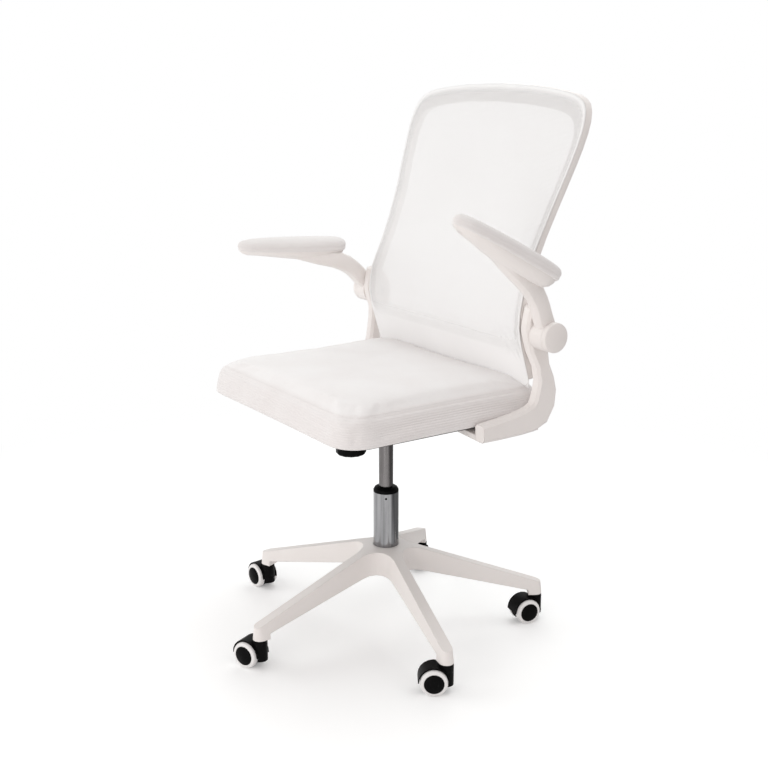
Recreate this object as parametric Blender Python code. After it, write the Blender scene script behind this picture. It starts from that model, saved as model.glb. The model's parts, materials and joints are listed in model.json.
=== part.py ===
# Task chair: five-star base on twin-wheel casters, gas lift, tilt mechanism,
# upholstered seat, mesh back and flip-up arms.
# Metres, +Z up, floor at z = 0, the sitter faces -Y. Drawn with the lift axis on X = Y = 0,
# then moved so that the middle of the chair's footprint is at the origin.
import bpy
import bmesh
from math import atan, cos, degrees, hypot, pi, radians, sin, sqrt
from mathutils import Matrix, Vector

# Clearances
FIT = 0.0003              # between pieces that seat on each other
RUN = 0.0003              # between a shaft and its bore
OVERCUT = 0.010           # how far a cutting tool runs past the face that it opens

# Casters
WHEEL_RADIUS = 0.025
TYRE_WIDTH = 0.0115
BARREL_WIDTH = 0.0065     # black inner half of each wheel
BARREL_STEP = 0.0008      # the barrel runs this far clear of the floor
TYRE_DEPTH = 0.0066
TYRE_ROUNDING = 0.0042
WHEEL_SIDES = 20          # a multiple of four, so that a flat stands on the floor
HUB_DOME = 0.0040
HUB_SKIN = 0.0025
AXLE_RADIUS = 0.004
CASTER_TRAIL = 0.0225
CASTER_HEADINGS = (186, 204, 236, 257, 315)   # plan angle from +X in which each one trails
HOOD_WEB = 0.008
HOOD_WALL = 0.0022
HOOD_CLEARANCE = 0.0018
HOOD_SETBACK = 0.0050     # the fender ends this far short of the tyre's face
HOOD_LIP_ANGLE = 2        # degrees that the fender runs below the axle
AXLE_BOSS_RADIUS = 0.009
SOCKET_RADIUS = 0.0138
SOCKET_RISE = 0.0010      # the stem socket stands this far above the fender
SOCKET_DROP = 0.010       # and runs this far below the axle
STEM_RADIUS = 0.0055
STEM_TIP_CHAMFER = 0.002
STEM_COLLAR_RADIUS = 0.0092
STEM_COLLAR = 0.0012
STEM_IN_HOOD = 0.0070
STEM_IN_LEG = 0.022

# Star base
LEG_COUNT = 5
LEG_PHASE = -67.3         # degrees from straight ahead to the first leg
STEM_CIRCLE = 0.302
BOSS_RADIUS = 0.0137
BOSS_HEIGHT = 0.0295
BOSS_PROUD = 0.0105       # a boss reaches this far below its leg
LEG_ROOT_HALF_WIDTH = 0.0215
LEG_DRAFT = 0.105         # the sides lean in by this share of the height
LEG_FILLET = 0.030
LEG_ROOT_RADIUS = 0.065
LEG_RISE = 0.0765         # from the top of a leg tip to the top of its root
HUB_RISE = 0.007          # from the top of a leg root to the top of the hub
HUB_WALL = 0.009
HUB_UNDERSIDE = 0.1214
HUB_UNDERSIDE_RADIUS = 0.050
LEG_WALL = 0.0035
LEG_RIB = 0.003
POCKETS_PER_LEG = 3
POCKET_START = 0.066

# Gas lift
TUBE_RADIUS = 0.025
TUBE_SIDES = 24
TUBE_WALL = 0.0018
TUBE_FLOOR = 0.0035
TUBE_LENGTH = 0.159
DIMPLE_RADIUS = 0.0022    # crimp hole that holds the bush
DIMPLE_DROP = 0.0087
DIMPLE_HEADING = -34
BUSH_LENGTH = 0.080
BUSH_COLLAR = 0.0035
BUSH_SHOULDER = 0.0078
BUSH_TOP_WALL = 0.0020
CYLINDER_RADIUS = 0.014
CYLINDER_WALL = 0.0035
CYLINDER_BOTTOM = 0.2118
CYLINDER_LENGTH = 0.2015
CYLINDER_HEAD = 0.0365
CYLINDER_NECK = 0.012
ROD_RADIUS = 0.005
PISTON_REACH = 0.085      # top of the piston above the bottom of the cylinder
PISTON_LENGTH = 0.014
BEARING_RADIUS = 0.0165
BEARING_HEIGHT = 0.007
ROD_SHOULDER_RADIUS = 0.0095
ROD_SHOULDER = 0.004
VALVE_RADIUS = 0.004
VALVE_PROUD = 0.007
VALVE_SUNK = 0.0075
VALVE_STROKE_ROOM = 0.0052

# Tilt mechanism
AXLE_Y = -0.0315
AXLE_ABOVE_LIFT = 0.0085
TILT_AXLE_RADIUS = 0.005
AXLE_PROUD = 0.0015
EAR_THICKNESS = 0.003
EAR_RADIUS = 0.016
EAR_HALF_LENGTH = 0.021
HOUSING_HALF_WIDTH = 0.045
HOUSING_REAR = 0.050
HOUSING_NOSE = 0.042      # from the bolt to the front of the housing
HOUSING_ABOVE_LIFT = 0.0222
HOUSING_HEIGHT = 0.034
HOUSING_WALL = 0.004
HOUSING_CORNER = 0.010
CROSS_WALL = 0.018
CONE_BELOW_HOUSING = 0.022
CONE_WALL = 0.0037
SPRING_POCKET_HALF_WIDTH = 0.036
BOLT_LEAD = 0.0495        # from the tilt axle forward to the bolt
BOLT_RADIUS = 0.005
BOLT_HEAD_RADIUS = 0.010
BOLT_HEAD = 0.004
BOLT_SLOT_REACH = 0.011   # room for the bolt to lean as the seat tilts
PLATE_ABOVE_HOUSING = 0.020
PLATE_THICKNESS = 0.003
PLATE_HALF_WIDTH = 0.085
PLATE_NOSE = 0.008
PLATE_REAR = 0.100
PLATE_CORNER = 0.018
KNOB_RADIUS = 0.029
KNOB_BELOW_HOUSING = 0.0287
KNOB_HEIGHT = 0.0177
KNOB_EDGE = 0.003
KNOB_SKIN = 0.003
KNOB_TRAVEL = 0.0035      # room under the bolt for the knob to be wound up
KNOB_LOBES = 12
KNOB_LOBE_DEPTH = 0.0012
CUP_RADIUS = 0.019
CUP_THICKNESS = 0.0025
SPRING_RADIUS = 0.0142
SPRING_WIRE_RADIUS = 0.0020
SPRING_TURNS = 5
SPRING_POINTS_PER_TURN = 9
LEVER_RADIUS = 0.004
LEVER_PIVOT_X = -0.043
LEVER_TONGUE = 0.051      # from the pivot to the end over the valve
LEVER_BEND = 0.022        # from the pivot to the bend outside the housing
LEVER_DROP = 0.0165
LEVER_PLAY = 0.0024       # room for the lever in its slot
PADDLE_START = 0.082      # from the pivot to the paddle
PADDLE_LENGTH = 0.110
PADDLE_HALF_WIDTH = 0.0135
PADDLE_HALF_THICKNESS = 0.0065
ROD_IN_PADDLE = 0.035

# Seat
CUSHION_HALF_WIDTH = 0.2585
CUSHION_FRONT = -0.259
CUSHION_REAR = 0.195
CUSHION_CORNER = 0.062
CUSHION_EDGE_HEIGHT = 0.055   # underside to the panel seam
CUSHION_CROWN = 0.0125        # seam to the top of the crown
CUSHION_DRAW_IN = 0.003       # how far the middle of each side is drawn in
CUSHION_FOOT_ROUNDING = 0.004
CUSHION_SHOULDER = 0.0105     # how far the seam lies inside the edge
SEAM_HALF_STEP = 0.001
PAN_INSET = 0.036
PAN_CORNER = 0.040
PAN_THICKNESS = 0.0097

# Side brackets
BRACKET_THICKNESS = 0.0244
BRACKET_ROUNDING = 0.005
FLANGE_THICKNESS = 0.010
FLANGE_REACH = 0.094      # inward from the cheek
FLANGE_FRONT = 0.014
FLANGE_LENGTH = 0.136
FLANGE_SPLAY = 0.012
FOOT_HALF_DEPTH = 0.0160
KNEE_HALF_DEPTH = 0.0260
NECK_HALF_DEPTH = 0.0150
HEAD_HALF_DEPTH = 0.0268
HEAD_CROWN_HALF_DEPTH = 0.0150
HEAD_TIP_HALF_DEPTH = 0.0055
HEAD_RISE = 0.050         # from the arm pivot to the top of the bracket

# Back
BACK_SINK = 0.0045        # the foot of the back stands this far below the top of the crown
BACK_HEIGHT = 0.5235
BACK_LOWER_HALF_WIDTH = 0.2425
BACK_WAIST_HALF_WIDTH = 0.2340
SHOULDER_OVERHANG = 0.0005  # the shoulders of the back are as wide as the cushion, and this much more
BACK_SHOULDER_HALF_WIDTH = CUSHION_HALF_WIDTH + SHOULDER_OVERHANG
BACK_CREST_HALF_WIDTH = 0.2330
FRAME_SIDE_BAND = 0.018
FRAME_END_BAND = 0.034
FRAME_THICKNESS = 0.0165
FRAME_CHAMFER = 0.003
MESH_THICKNESS = 0.0022
MESH_BOW = 0.010
LUMBAR_LEAD = 0.0305      # the lumbar bulge stands this far ahead of the arm pivot
BACK_TOP_LAG = 0.1155     # the top of the back lies this far behind the arm pivot
BACK_FOOT_LAG = -0.003    # the foot of the back against the arm pivot

# Arms
PIVOT_Y = 0.152
PIVOT_RISE = 0.1775       # from the underside of the flange
DRUM_RADIUS = 0.0272
DRUM_LENGTH = 0.031
PIN_RADIUS = 0.008
CAP_THICKNESS = 0.011
CAP_ROUNDING = 0.003
CAP_CROWN = 0.0012
LEFT_ARM_RAISED = 27.5    # degrees, the left arm stands part way up
RIGHT_ARM_RAISED = 3.0    # and the right arm is nearly level
PAD_OUTSET = 0.0242       # from the middle of the drum to the middle of the pad
PAD_HALF_WIDTH = 0.040
PAD_REAR = 0.056          # forward from the pivot
PAD_LENGTH = 0.252
PAD_UNDERSIDE = 0.0875    # above the pivot
PAD_EDGE_HEIGHT = 0.016
PAD_CROWN = 0.008
PAD_TIP_RISE = 0.003      # the underside of the pad rises this far towards the tip
SHELL_DEPTH = 0.021
SHELL_TIP_SHARE = 0.55    # how much of its depth the shell keeps at the tip
SHELL_LIP = 0.004         # the pad overhangs its shell by this
ARM_ROOT_HALF_DEPTH = 0.0185
ARM_LEG_HALF_DEPTH = 0.0172
ARM_TOE_HALF_DEPTH = 0.0045
ARM_SPREAD = 0.010        # how much wider each side of the leg is under the pad
ARM_TOE_NARROWING = 0.012
DRUM_INSET = 0.0012       # the leg stands back from the ends of the drum

# Heights and places that follow from the sizes above
HUB_RADIUS = WHEEL_RADIUS - TYRE_DEPTH - FIT
WHEEL_INNER_Y = HOOD_WEB / 2 + RUN
TYRE_INNER_Y = WHEEL_INNER_Y + BARREL_WIDTH + FIT
WHEEL_OUTER_Y = TYRE_INNER_Y + TYRE_WIDTH
HOOD_INNER_RADIUS = WHEEL_RADIUS + HOOD_CLEARANCE
HOOD_OUTER_RADIUS = HOOD_INNER_RADIUS + HOOD_WALL
HOOD_HALF_WIDTH = WHEEL_OUTER_Y - HOOD_SETBACK
SOCKET_TOP = WHEEL_RADIUS + HOOD_OUTER_RADIUS + SOCKET_RISE
BOSS_BOTTOM = SOCKET_TOP + STEM_COLLAR + 2 * FIT
LEG_TIP_TOP = BOSS_BOTTOM + BOSS_HEIGHT
LEG_ROOT_TOP = LEG_TIP_TOP + LEG_RISE
HUB_TOP = LEG_ROOT_TOP + HUB_RISE
LEG_TAPER = (LEG_ROOT_HALF_WIDTH - BOSS_RADIUS) / (STEM_CIRCLE - HUB_UNDERSIDE_RADIUS)
TUBE_BOTTOM = HUB_UNDERSIDE + FIT
TUBE_TOP = TUBE_BOTTOM + TUBE_LENGTH
BUSH_SEAT = TUBE_TOP + FIT
CYLINDER_TOP = CYLINDER_BOTTOM + CYLINDER_LENGTH
CHAMBER_RADIUS = CYLINDER_RADIUS - CYLINDER_WALL
CHAMBER_TOP = CYLINDER_TOP - CYLINDER_HEAD
VALVE_SEAT = CYLINDER_TOP - VALVE_SUNK - VALVE_STROKE_ROOM
BEARING_BOTTOM = TUBE_BOTTOM + TUBE_FLOOR + FIT
AXLE_Z = CYLINDER_TOP + AXLE_ABOVE_LIFT
BOLT_Y = AXLE_Y - BOLT_LEAD
HOUSING_FRONT = BOLT_Y - HOUSING_NOSE
HOUSING_TOP = CYLINDER_TOP + HOUSING_ABOVE_LIFT
HOUSING_BOTTOM = HOUSING_TOP - HOUSING_HEIGHT
POCKET_CEILING = HOUSING_TOP - HOUSING_WALL
CONE_RADIUS = CYLINDER_RADIUS + RUN + CONE_WALL
PLATE_UNDERSIDE = HOUSING_TOP + PLATE_ABOVE_HOUSING
PLATE_TOP = PLATE_UNDERSIDE + PLATE_THICKNESS
KNOB_BOTTOM = HOUSING_BOTTOM - KNOB_BELOW_HOUSING
KNOB_TOP = KNOB_BOTTOM + KNOB_HEIGHT
CUP_BOTTOM = KNOB_TOP + FIT
CUP_TOP = CUP_BOTTOM + CUP_THICKNESS
LEVER_Z = CYLINDER_TOP + VALVE_PROUD + FIT + LEVER_RADIUS
PADDLE_X = LEVER_PIVOT_X - PADDLE_START
PADDLE_Z = LEVER_Z - LEVER_DROP
PAN_BOTTOM = PLATE_TOP + FIT
PAN_TOP = PAN_BOTTOM + PAN_THICKNESS
CUSHION_BOTTOM = PAN_TOP + FIT
SEAM_Z = CUSHION_BOTTOM + CUSHION_EDGE_HEIGHT
CUSHION_TOP = SEAM_Z + SEAM_HALF_STEP + CUSHION_CROWN
CUSHION_MIDDLE_Y = (CUSHION_FRONT + CUSHION_REAR) / 2
CUSHION_HALF_LENGTH = (CUSHION_REAR - CUSHION_FRONT) / 2
FLANGE_TOP = PAN_BOTTOM - FIT
FLANGE_BOTTOM = FLANGE_TOP - FLANGE_THICKNESS
PIVOT_Z = FLANGE_BOTTOM + PIVOT_RISE
BRACKET_INNER_X = CUSHION_HALF_WIDTH + 2 * FIT
HEAD_INNER_X = BACK_LOWER_HALF_WIDTH + FIT
HEAD_OUTER_X = HEAD_INNER_X + BRACKET_THICKNESS
DRUM_INNER_X = HEAD_OUTER_X + RUN
DRUM_OUTER_X = DRUM_INNER_X + DRUM_LENGTH
DRUM_MIDDLE_X = DRUM_INNER_X + DRUM_LENGTH / 2
PAD_MIDDLE_X = DRUM_MIDDLE_X + PAD_OUTSET
BACK_BOTTOM = CUSHION_TOP - BACK_SINK

ALONG_X = Matrix.Rotation(pi / 2, 4, "Y")
ALONG_Y = Matrix.Rotation(-pi / 2, 4, "X")

frame_places = {}


def clear_scene():
    for old in list(bpy.data.objects):
        bpy.data.objects.remove(old, do_unlink=True)


def finish(name, colour, roughness, metallic=0.0):
    material = bpy.data.materials.new(name)
    material.use_nodes = True
    shader = material.node_tree.nodes["Principled BSDF"]
    shader.inputs["Base Color"].default_value = (*colour, 1.0)
    shader.inputs["Roughness"].default_value = roughness
    shader.inputs["Metallic"].default_value = metallic
    return material


def add_frame(name, placement, parent=None):
    # An empty on a joint axis; placement is given in the world.
    above = frame_places[parent.name] if parent else Matrix.Identity(4)
    empty = bpy.data.objects.new(name, None)
    bpy.context.collection.objects.link(empty)
    empty.parent = parent
    empty.matrix_basis = above.inverted() @ placement
    frame_places[name] = placement
    return empty


def add_piece(name, mesh, material, frame, in_world=True):
    # The mesh is drawn in the world, or already in the frame that it hangs from.
    if in_world:
        mesh.transform(frame_places[frame.name].inverted())
    mesh.materials.clear()
    mesh.materials.append(material)
    mesh.shade_smooth()
    mesh.set_sharp_from_angle(angle=radians(35))
    piece = bpy.data.objects.new(name, mesh)
    bpy.context.collection.objects.link(piece)
    piece.parent = frame
    return piece


def to_mesh(bm):
    bmesh.ops.recalc_face_normals(bm, faces=bm.faces)
    mesh = bpy.data.meshes.new("solid")
    bm.to_mesh(mesh)
    bm.free()
    return mesh


def loft(loops, ring=False, rungs=False):
    # Bridges equal loops of points; the ends are capped unless the loops close in a ring.
    # With rungs, a cap runs from side to side and may be curved lengthwise.
    bm = bmesh.new()
    rows = [[bm.verts.new(point) for point in loop] for loop in loops]
    count = len(rows[0])
    spans = len(rows) if ring else len(rows) - 1
    for i in range(spans):
        lower, upper = rows[i], rows[(i + 1) % len(rows)]
        for j in range(count):
            k = (j + 1) % count
            bm.faces.new((lower[j], lower[k], upper[k], upper[j]))
    if rungs:
        for row in (rows[0], rows[-1]):
            for j in range(count // 2 - 1):
                bm.faces.new((row[j], row[j + 1], row[count - 2 - j], row[count - 1 - j]))
    elif not ring:
        bm.faces.new(rows[0])
        bm.faces.new(rows[-1])
    return to_mesh(bm)


def turned(profile, sides):
    # Turns a closed (radius, height) profile about Z; points on the axis become poles.
    bm = bmesh.new()
    angles = [2 * pi * (i + 0.5) / sides for i in range(sides)]
    rings = []
    for radius, height in profile:
        if radius == 0:
            rings.append([bm.verts.new((0, 0, height))])
        else:
            rings.append([bm.verts.new((radius * cos(a), radius * sin(a), height)) for a in angles])
    for j, lower in enumerate(rings):
        upper = rings[(j + 1) % len(rings)]
        for i in range(sides):
            k = (i + 1) % sides
            if len(lower) == 1 and len(upper) == 1:
                continue
            if len(lower) == 1:
                bm.faces.new((lower[0], upper[k], upper[i]))
            elif len(upper) == 1:
                bm.faces.new((lower[i], lower[k], upper[0]))
            else:
                bm.faces.new((lower[i], lower[k], upper[k], upper[i]))
    return to_mesh(bm)


def disc(radius, bottom, top, sides):
    return turned([(0, bottom), (radius, bottom), (radius, top), (0, top)], sides)


def upright_prism(outline, bottom, top):
    return loft([[(x, y, z) for x, y in outline] for z in (bottom, top)])


def side_prism(outline, start_x, end_x):
    return loft([[(x, y, z) for y, z in outline] for x in (start_x, end_x)])


def block(low, high):
    corners = [(low[0], low[1]), (high[0], low[1]), (high[0], high[1]), (low[0], high[1])]
    return upright_prism(corners, low[2], high[2])


def moved(mesh, matrix):
    mesh.transform(matrix)
    if matrix.determinant() < 0:
        mesh.flip_normals()
    return mesh


def at(x, y, z):
    return Matrix.Translation((x, y, z))


def for_side(mesh, side):
    # Pieces that come in pairs are drawn for the left side, +X.
    return mesh if side > 0 else moved(mesh, Matrix.Scale(-1, 4, (1, 0, 0)))


def combine(mesh, tools, operation):
    for tool in tools:
        host = bpy.data.objects.new("host", mesh)
        guest = bpy.data.objects.new("guest", tool)
        for piece in (host, guest):
            bpy.context.collection.objects.link(piece)
        step = host.modifiers.new("step", "BOOLEAN")
        step.operation = operation
        step.solver = "EXACT"
        step.object = guest
        view = bpy.context.evaluated_depsgraph_get()
        mesh = bpy.data.meshes.new_from_object(host.evaluated_get(view))
        for piece in (host, guest):
            bpy.data.objects.remove(piece, do_unlink=True)
    return mesh


def union(mesh, *tools):
    return combine(mesh, tools, "UNION")


def cut(mesh, *tools):
    return combine(mesh, tools, "DIFFERENCE")


def arc_points(centre, radius, start, stop, steps):
    angles = [radians(start + (stop - start) * i / steps) for i in range(steps + 1)]
    return [(centre[0] + radius * cos(a), centre[1] + radius * sin(a)) for a in angles]


def rounded_rectangle(low, high, radius, steps):
    corners = (((high[0] - radius, low[1] + radius), -90), ((high[0] - radius, high[1] - radius), 0),
               ((low[0] + radius, high[1] - radius), 90), ((low[0] + radius, low[1] + radius), 180))
    points = []
    for centre, start in corners:
        points += arc_points(centre, radius, start, start + 90, steps)
    return points


def smooth_value(knots, where):
    # A smooth curve through (position, value) knots, with slopes taken from the neighbours.
    if where <= knots[0][0]:
        return knots[0][1]
    if where >= knots[-1][0]:
        return knots[-1][1]
    i = max(k for k in range(len(knots) - 1) if knots[k][0] <= where)
    before, start = knots[max(i - 1, 0)], knots[i]
    end, after = knots[i + 1], knots[min(i + 2, len(knots) - 1)]
    span = end[0] - start[0]
    slope_in = (end[1] - before[1]) / (end[0] - before[0])
    slope_out = (after[1] - start[1]) / (after[0] - start[0])
    t = (where - start[0]) / span
    return ((2 * t**3 - 3 * t**2 + 1) * start[1] + (t**3 - 2 * t**2 + t) * span * slope_in
            + (3 * t**2 - 2 * t**3) * end[1] + (t**3 - t**2) * span * slope_out)


def smooth_path(points, steps):
    # Points along a smooth curve through the given points, with steps per span.
    path = []
    for i in range(len(points) - 1):
        p0, p1 = Vector(points[max(i - 1, 0)]), Vector(points[i])
        p2, p3 = Vector(points[i + 1]), Vector(points[min(i + 2, len(points) - 1)])
        for j in range(steps):
            t = j / steps
            path.append(0.5 * (2 * p1 + (p2 - p0) * t + (2 * p0 - 5 * p1 + 4 * p2 - p3) * t * t
                               + (3 * p1 - p0 - 3 * p2 + p3) * t**3))
    path.append(Vector(points[-1]))
    return path


def ease(share):
    share = min(max(share, 0), 1)
    return share * share * (3 - 2 * share)


# Casters, drawn on the stem axis with the wheels trailing towards +X

def caster_hood_mesh():
    axle = (CASTER_TRAIL, WHEEL_RADIUS)
    start, stop = -HOOD_LIP_ANGLE, 180 + HOOD_LIP_ANGLE
    half_web = HOOD_WEB / 2
    rim = arc_points(axle, HOOD_OUTER_RADIUS, start, stop, 10)
    well = arc_points(axle, HOOD_INNER_RADIUS, stop, start, 10)
    fender = loft([[(x, y, z) for x, z in rim + well] for y in (-HOOD_HALF_WIDTH, HOOD_HALF_WIDTH)])
    web_rim = arc_points(axle, HOOD_OUTER_RADIUS - HOOD_WALL / 2, start + 3, stop - 3, 9)
    web_boss = arc_points(axle, AXLE_BOSS_RADIUS, stop, 360 + start, 4)
    web = loft([[(x, y, z) for x, z in web_rim + web_boss] for y in (-half_web, half_web)])
    on_axle = at(axle[0], 0, axle[1]) @ ALONG_Y
    room = moved(disc(HOOD_INNER_RADIUS, half_web, 2 * HOOD_HALF_WIDTH, 20), on_axle)
    other_room = moved(room.copy(), Matrix.Scale(-1, 4, (0, 1, 0)))
    socket = cut(disc(SOCKET_RADIUS, WHEEL_RADIUS - SOCKET_DROP, SOCKET_TOP, 14), room, other_room)
    stem_hole = disc(STEM_RADIUS + RUN, SOCKET_TOP - STEM_IN_HOOD - FIT, SOCKET_TOP + OVERCUT, 10)
    end = WHEEL_OUTER_Y - HUB_SKIN - FIT
    axle_bar = moved(disc(AXLE_RADIUS, -end, end, 8), on_axle)
    return union(cut(union(fender, web, socket), stem_hole), axle_bar)


def caster_stem_mesh():
    low = SOCKET_TOP - STEM_IN_HOOD
    collar = SOCKET_TOP + FIT
    top = BOSS_BOTTOM + STEM_IN_LEG - FIT
    return turned([(0, low), (STEM_RADIUS, low), (STEM_RADIUS, collar), (STEM_COLLAR_RADIUS, collar),
                   (STEM_COLLAR_RADIUS, collar + STEM_COLLAR), (STEM_RADIUS, collar + STEM_COLLAR),
                   (STEM_RADIUS, top - STEM_TIP_CHAMFER), (STEM_RADIUS - STEM_TIP_CHAMFER, top),
                   (0, top)], 10)


def facet_scale():
    # The tread's flats, not its corners, stand at the wheel radius.
    return 1 / cos(pi / WHEEL_SIDES)


def wheel_hub_mesh():
    rim = HUB_RADIUS * facet_scale()
    barrel = (WHEEL_RADIUS - BARREL_STEP) * facet_scale()
    bore = AXLE_RADIUS + RUN
    face = WHEEL_OUTER_Y
    profile = [(bore, WHEEL_INNER_Y), (barrel, WHEEL_INNER_Y), (barrel, WHEEL_INNER_Y + BARREL_WIDTH),
               (rim, WHEEL_INNER_Y + BARREL_WIDTH), (rim, face + 0.1 * HUB_DOME),
               (0.78 * rim, face + 0.7 * HUB_DOME), (0, face + HUB_DOME), (0, face - HUB_SKIN),
               (bore, face - HUB_SKIN)]
    return moved(turned(profile, WHEEL_SIDES), ALONG_Y)


def tyre_mesh():
    scale = facet_scale()
    bore = (HUB_RADIUS + FIT) * scale
    tread = WHEEL_RADIUS * scale
    shoulder = tread - TYRE_ROUNDING
    edge = shoulder + 0.7 * TYRE_ROUNDING
    profile = [(bore, TYRE_INNER_Y), (tread, TYRE_INNER_Y), (tread, WHEEL_OUTER_Y - TYRE_ROUNDING),
               (edge, WHEEL_OUTER_Y - 0.3 * TYRE_ROUNDING), (shoulder, WHEEL_OUTER_Y), (bore, WHEEL_OUTER_Y)]
    return moved(turned(profile, WHEEL_SIDES), ALONG_Y)


# Star base

def leg_half_width(radius):
    return BOSS_RADIUS + LEG_TAPER * (STEM_CIRCLE - radius)


def leg_top(radius):
    return LEG_TIP_TOP + LEG_RISE * (STEM_CIRCLE - radius) / (STEM_CIRCLE - LEG_ROOT_RADIUS)


def leg_lean(height):
    return LEG_DRAFT * (height - BOSS_BOTTOM)


def leg_placement(index):
    # Turns a leg drawn along +X to its own direction.
    return Matrix.Rotation(radians(LEG_PHASE - 90 + 360 / LEG_COUNT * index), 4, "Z")


def stem_place(index):
    return leg_placement(index) @ Vector((STEM_CIRCLE, 0, 0))


def star_outline(height):
    inset = leg_lean(height)
    half_gap = pi / LEG_COUNT
    edge_angle = half_gap + atan(LEG_TAPER)
    meeting = leg_half_width(0) * cos(atan(LEG_TAPER)) / sin(edge_angle)
    centre = meeting + LEG_FILLET / sin(edge_angle)
    sweep = 90 - degrees(edge_angle)
    points = []
    for index in range(LEG_COUNT):
        placement = leg_placement(index)
        tip = arc_points((STEM_CIRCLE, 0), BOSS_RADIUS - inset, -84, 84, 8)
        points += [placement @ Vector((x, y, 0)) for x, y in tip]
        bisector = placement @ Matrix.Rotation(half_gap, 4, "Z")
        fillet = arc_points((centre, 0), LEG_FILLET + inset, 180 + sweep, 180 - sweep, 5)
        points += [bisector @ Vector((x, y, 0)) for x, y in fillet]
    return [(p.x, p.y) for p in points]


def leg_pocket_meshes(index):
    # Ribbed hollows in the underside of one leg.
    length = (STEM_CIRCLE - BOSS_RADIUS - LEG_WALL - POCKET_START + LEG_RIB) / POCKETS_PER_LEG
    floor = BOSS_BOTTOM - OVERCUT
    pockets = []
    for number in range(POCKETS_PER_LEG):
        near = POCKET_START + number * length
        loops = []
        for radius in (near, near + length - LEG_RIB):
            half = leg_half_width(radius) - LEG_WALL
            roof = leg_top(radius) - LEG_WALL
            low, high = half - leg_lean(floor), half - leg_lean(roof)
            corners = ((-low, floor), (low, floor), (high, roof), (-high, roof))
            loops.append([leg_placement(index) @ Vector((radius, y, z)) for y, z in corners])
        pockets.append(loft(loops))
    return pockets


def star_base_mesh():
    tip = STEM_CIRCLE + 2 * BOSS_RADIUS
    boss = STEM_CIRCLE - BOSS_RADIUS
    section = [(0, HUB_UNDERSIDE), (HUB_UNDERSIDE_RADIUS, HUB_UNDERSIDE), (boss, BOSS_BOTTOM + BOSS_PROUD),
               (boss, BOSS_BOTTOM), (tip, BOSS_BOTTOM), (tip, leg_top(tip)),
               (LEG_ROOT_RADIUS, LEG_ROOT_TOP), (TUBE_RADIUS + HUB_WALL, HUB_TOP), (0, HUB_TOP)]
    body = moved(turned(section, 8 * LEG_COUNT), leg_placement(0))
    star = loft([[(x, y, z) for x, y in star_outline(z)]
                 for z in (BOSS_BOTTOM - OVERCUT, HUB_TOP + OVERCUT)])
    body = combine(body, [star], "INTERSECT")
    tools = [disc(TUBE_RADIUS + FIT, HUB_UNDERSIDE - OVERCUT, HUB_TOP + OVERCUT, TUBE_SIDES)]
    for index in range(LEG_COUNT):
        tools += leg_pocket_meshes(index)
        hole = disc(STEM_RADIUS + FIT, BOSS_BOTTOM - OVERCUT, BOSS_BOTTOM + STEM_IN_LEG, 10)
        tools.append(moved(hole, Matrix.Translation(stem_place(index))))
    return cut(body, *tools)


# Gas lift

def lift_tube_mesh():
    inner = TUBE_RADIUS - TUBE_WALL
    hole = ROD_RADIUS + RUN
    floor = TUBE_BOTTOM + TUBE_FLOOR
    tube = turned([(hole, TUBE_BOTTOM), (TUBE_RADIUS, TUBE_BOTTOM), (TUBE_RADIUS, TUBE_TOP),
                   (inner, TUBE_TOP), (inner, floor), (hole, floor)], TUBE_SIDES)
    dimple = moved(disc(DIMPLE_RADIUS, inner - TUBE_WALL, TUBE_RADIUS + OVERCUT, 12), ALONG_X)
    turn = Matrix.Rotation(radians(DIMPLE_HEADING), 4, "Z")
    return cut(tube, moved(dimple, at(0, 0, TUBE_TOP - DIMPLE_DROP) @ turn))


def lift_bush_mesh():
    sleeve = TUBE_RADIUS - TUBE_WALL - FIT
    bore = CYLINDER_RADIUS + RUN
    collar = BUSH_SEAT + BUSH_COLLAR
    top = collar + BUSH_SHOULDER
    return turned([(bore, TUBE_TOP - BUSH_LENGTH), (sleeve, TUBE_TOP - BUSH_LENGTH), (sleeve, BUSH_SEAT),
                   (TUBE_RADIUS, BUSH_SEAT), (TUBE_RADIUS, collar),
                   (0.7 * TUBE_RADIUS + 0.3 * (bore + BUSH_TOP_WALL), collar + 0.55 * BUSH_SHOULDER),
                   (bore + BUSH_TOP_WALL, top), (bore, top)], TUBE_SIDES)


def lift_bearing_mesh():
    return turned([(ROD_RADIUS + RUN, BEARING_BOTTOM), (BEARING_RADIUS, BEARING_BOTTOM),
                   (BEARING_RADIUS, BEARING_BOTTOM + BEARING_HEIGHT),
                   (ROD_RADIUS + RUN, BEARING_BOTTOM + BEARING_HEIGHT)], 16)


def piston_rod_mesh():
    shoulder = BEARING_BOTTOM + BEARING_HEIGHT + FIT
    piston = CHAMBER_RADIUS - RUN
    top = CYLINDER_BOTTOM + PISTON_REACH
    return turned([(0, TUBE_BOTTOM), (ROD_RADIUS, TUBE_BOTTOM), (ROD_RADIUS, shoulder),
                   (ROD_SHOULDER_RADIUS, shoulder), (ROD_SHOULDER_RADIUS, shoulder + ROD_SHOULDER),
                   (ROD_RADIUS, shoulder + ROD_SHOULDER), (ROD_RADIUS, top - PISTON_LENGTH),
                   (piston, top - PISTON_LENGTH), (piston, top), (0, top)], 12)


def lift_cylinder_mesh():
    neck = ROD_RADIUS + RUN
    bore = VALVE_RADIUS + RUN
    neck_top = CYLINDER_BOTTOM + CYLINDER_NECK
    return turned([(neck, CYLINDER_BOTTOM), (CYLINDER_RADIUS, CYLINDER_BOTTOM),
                   (CYLINDER_RADIUS, CYLINDER_TOP), (bore, CYLINDER_TOP), (bore, VALVE_SEAT),
                   (0, VALVE_SEAT), (0, CHAMBER_TOP), (CHAMBER_RADIUS, CHAMBER_TOP),
                   (CHAMBER_RADIUS, neck_top), (neck, neck_top)], TUBE_SIDES)


def valve_button_mesh():
    return disc(VALVE_RADIUS, CYLINDER_TOP - VALVE_SUNK, CYLINDER_TOP + VALVE_PROUD, 10)


# Tilt mechanism

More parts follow.
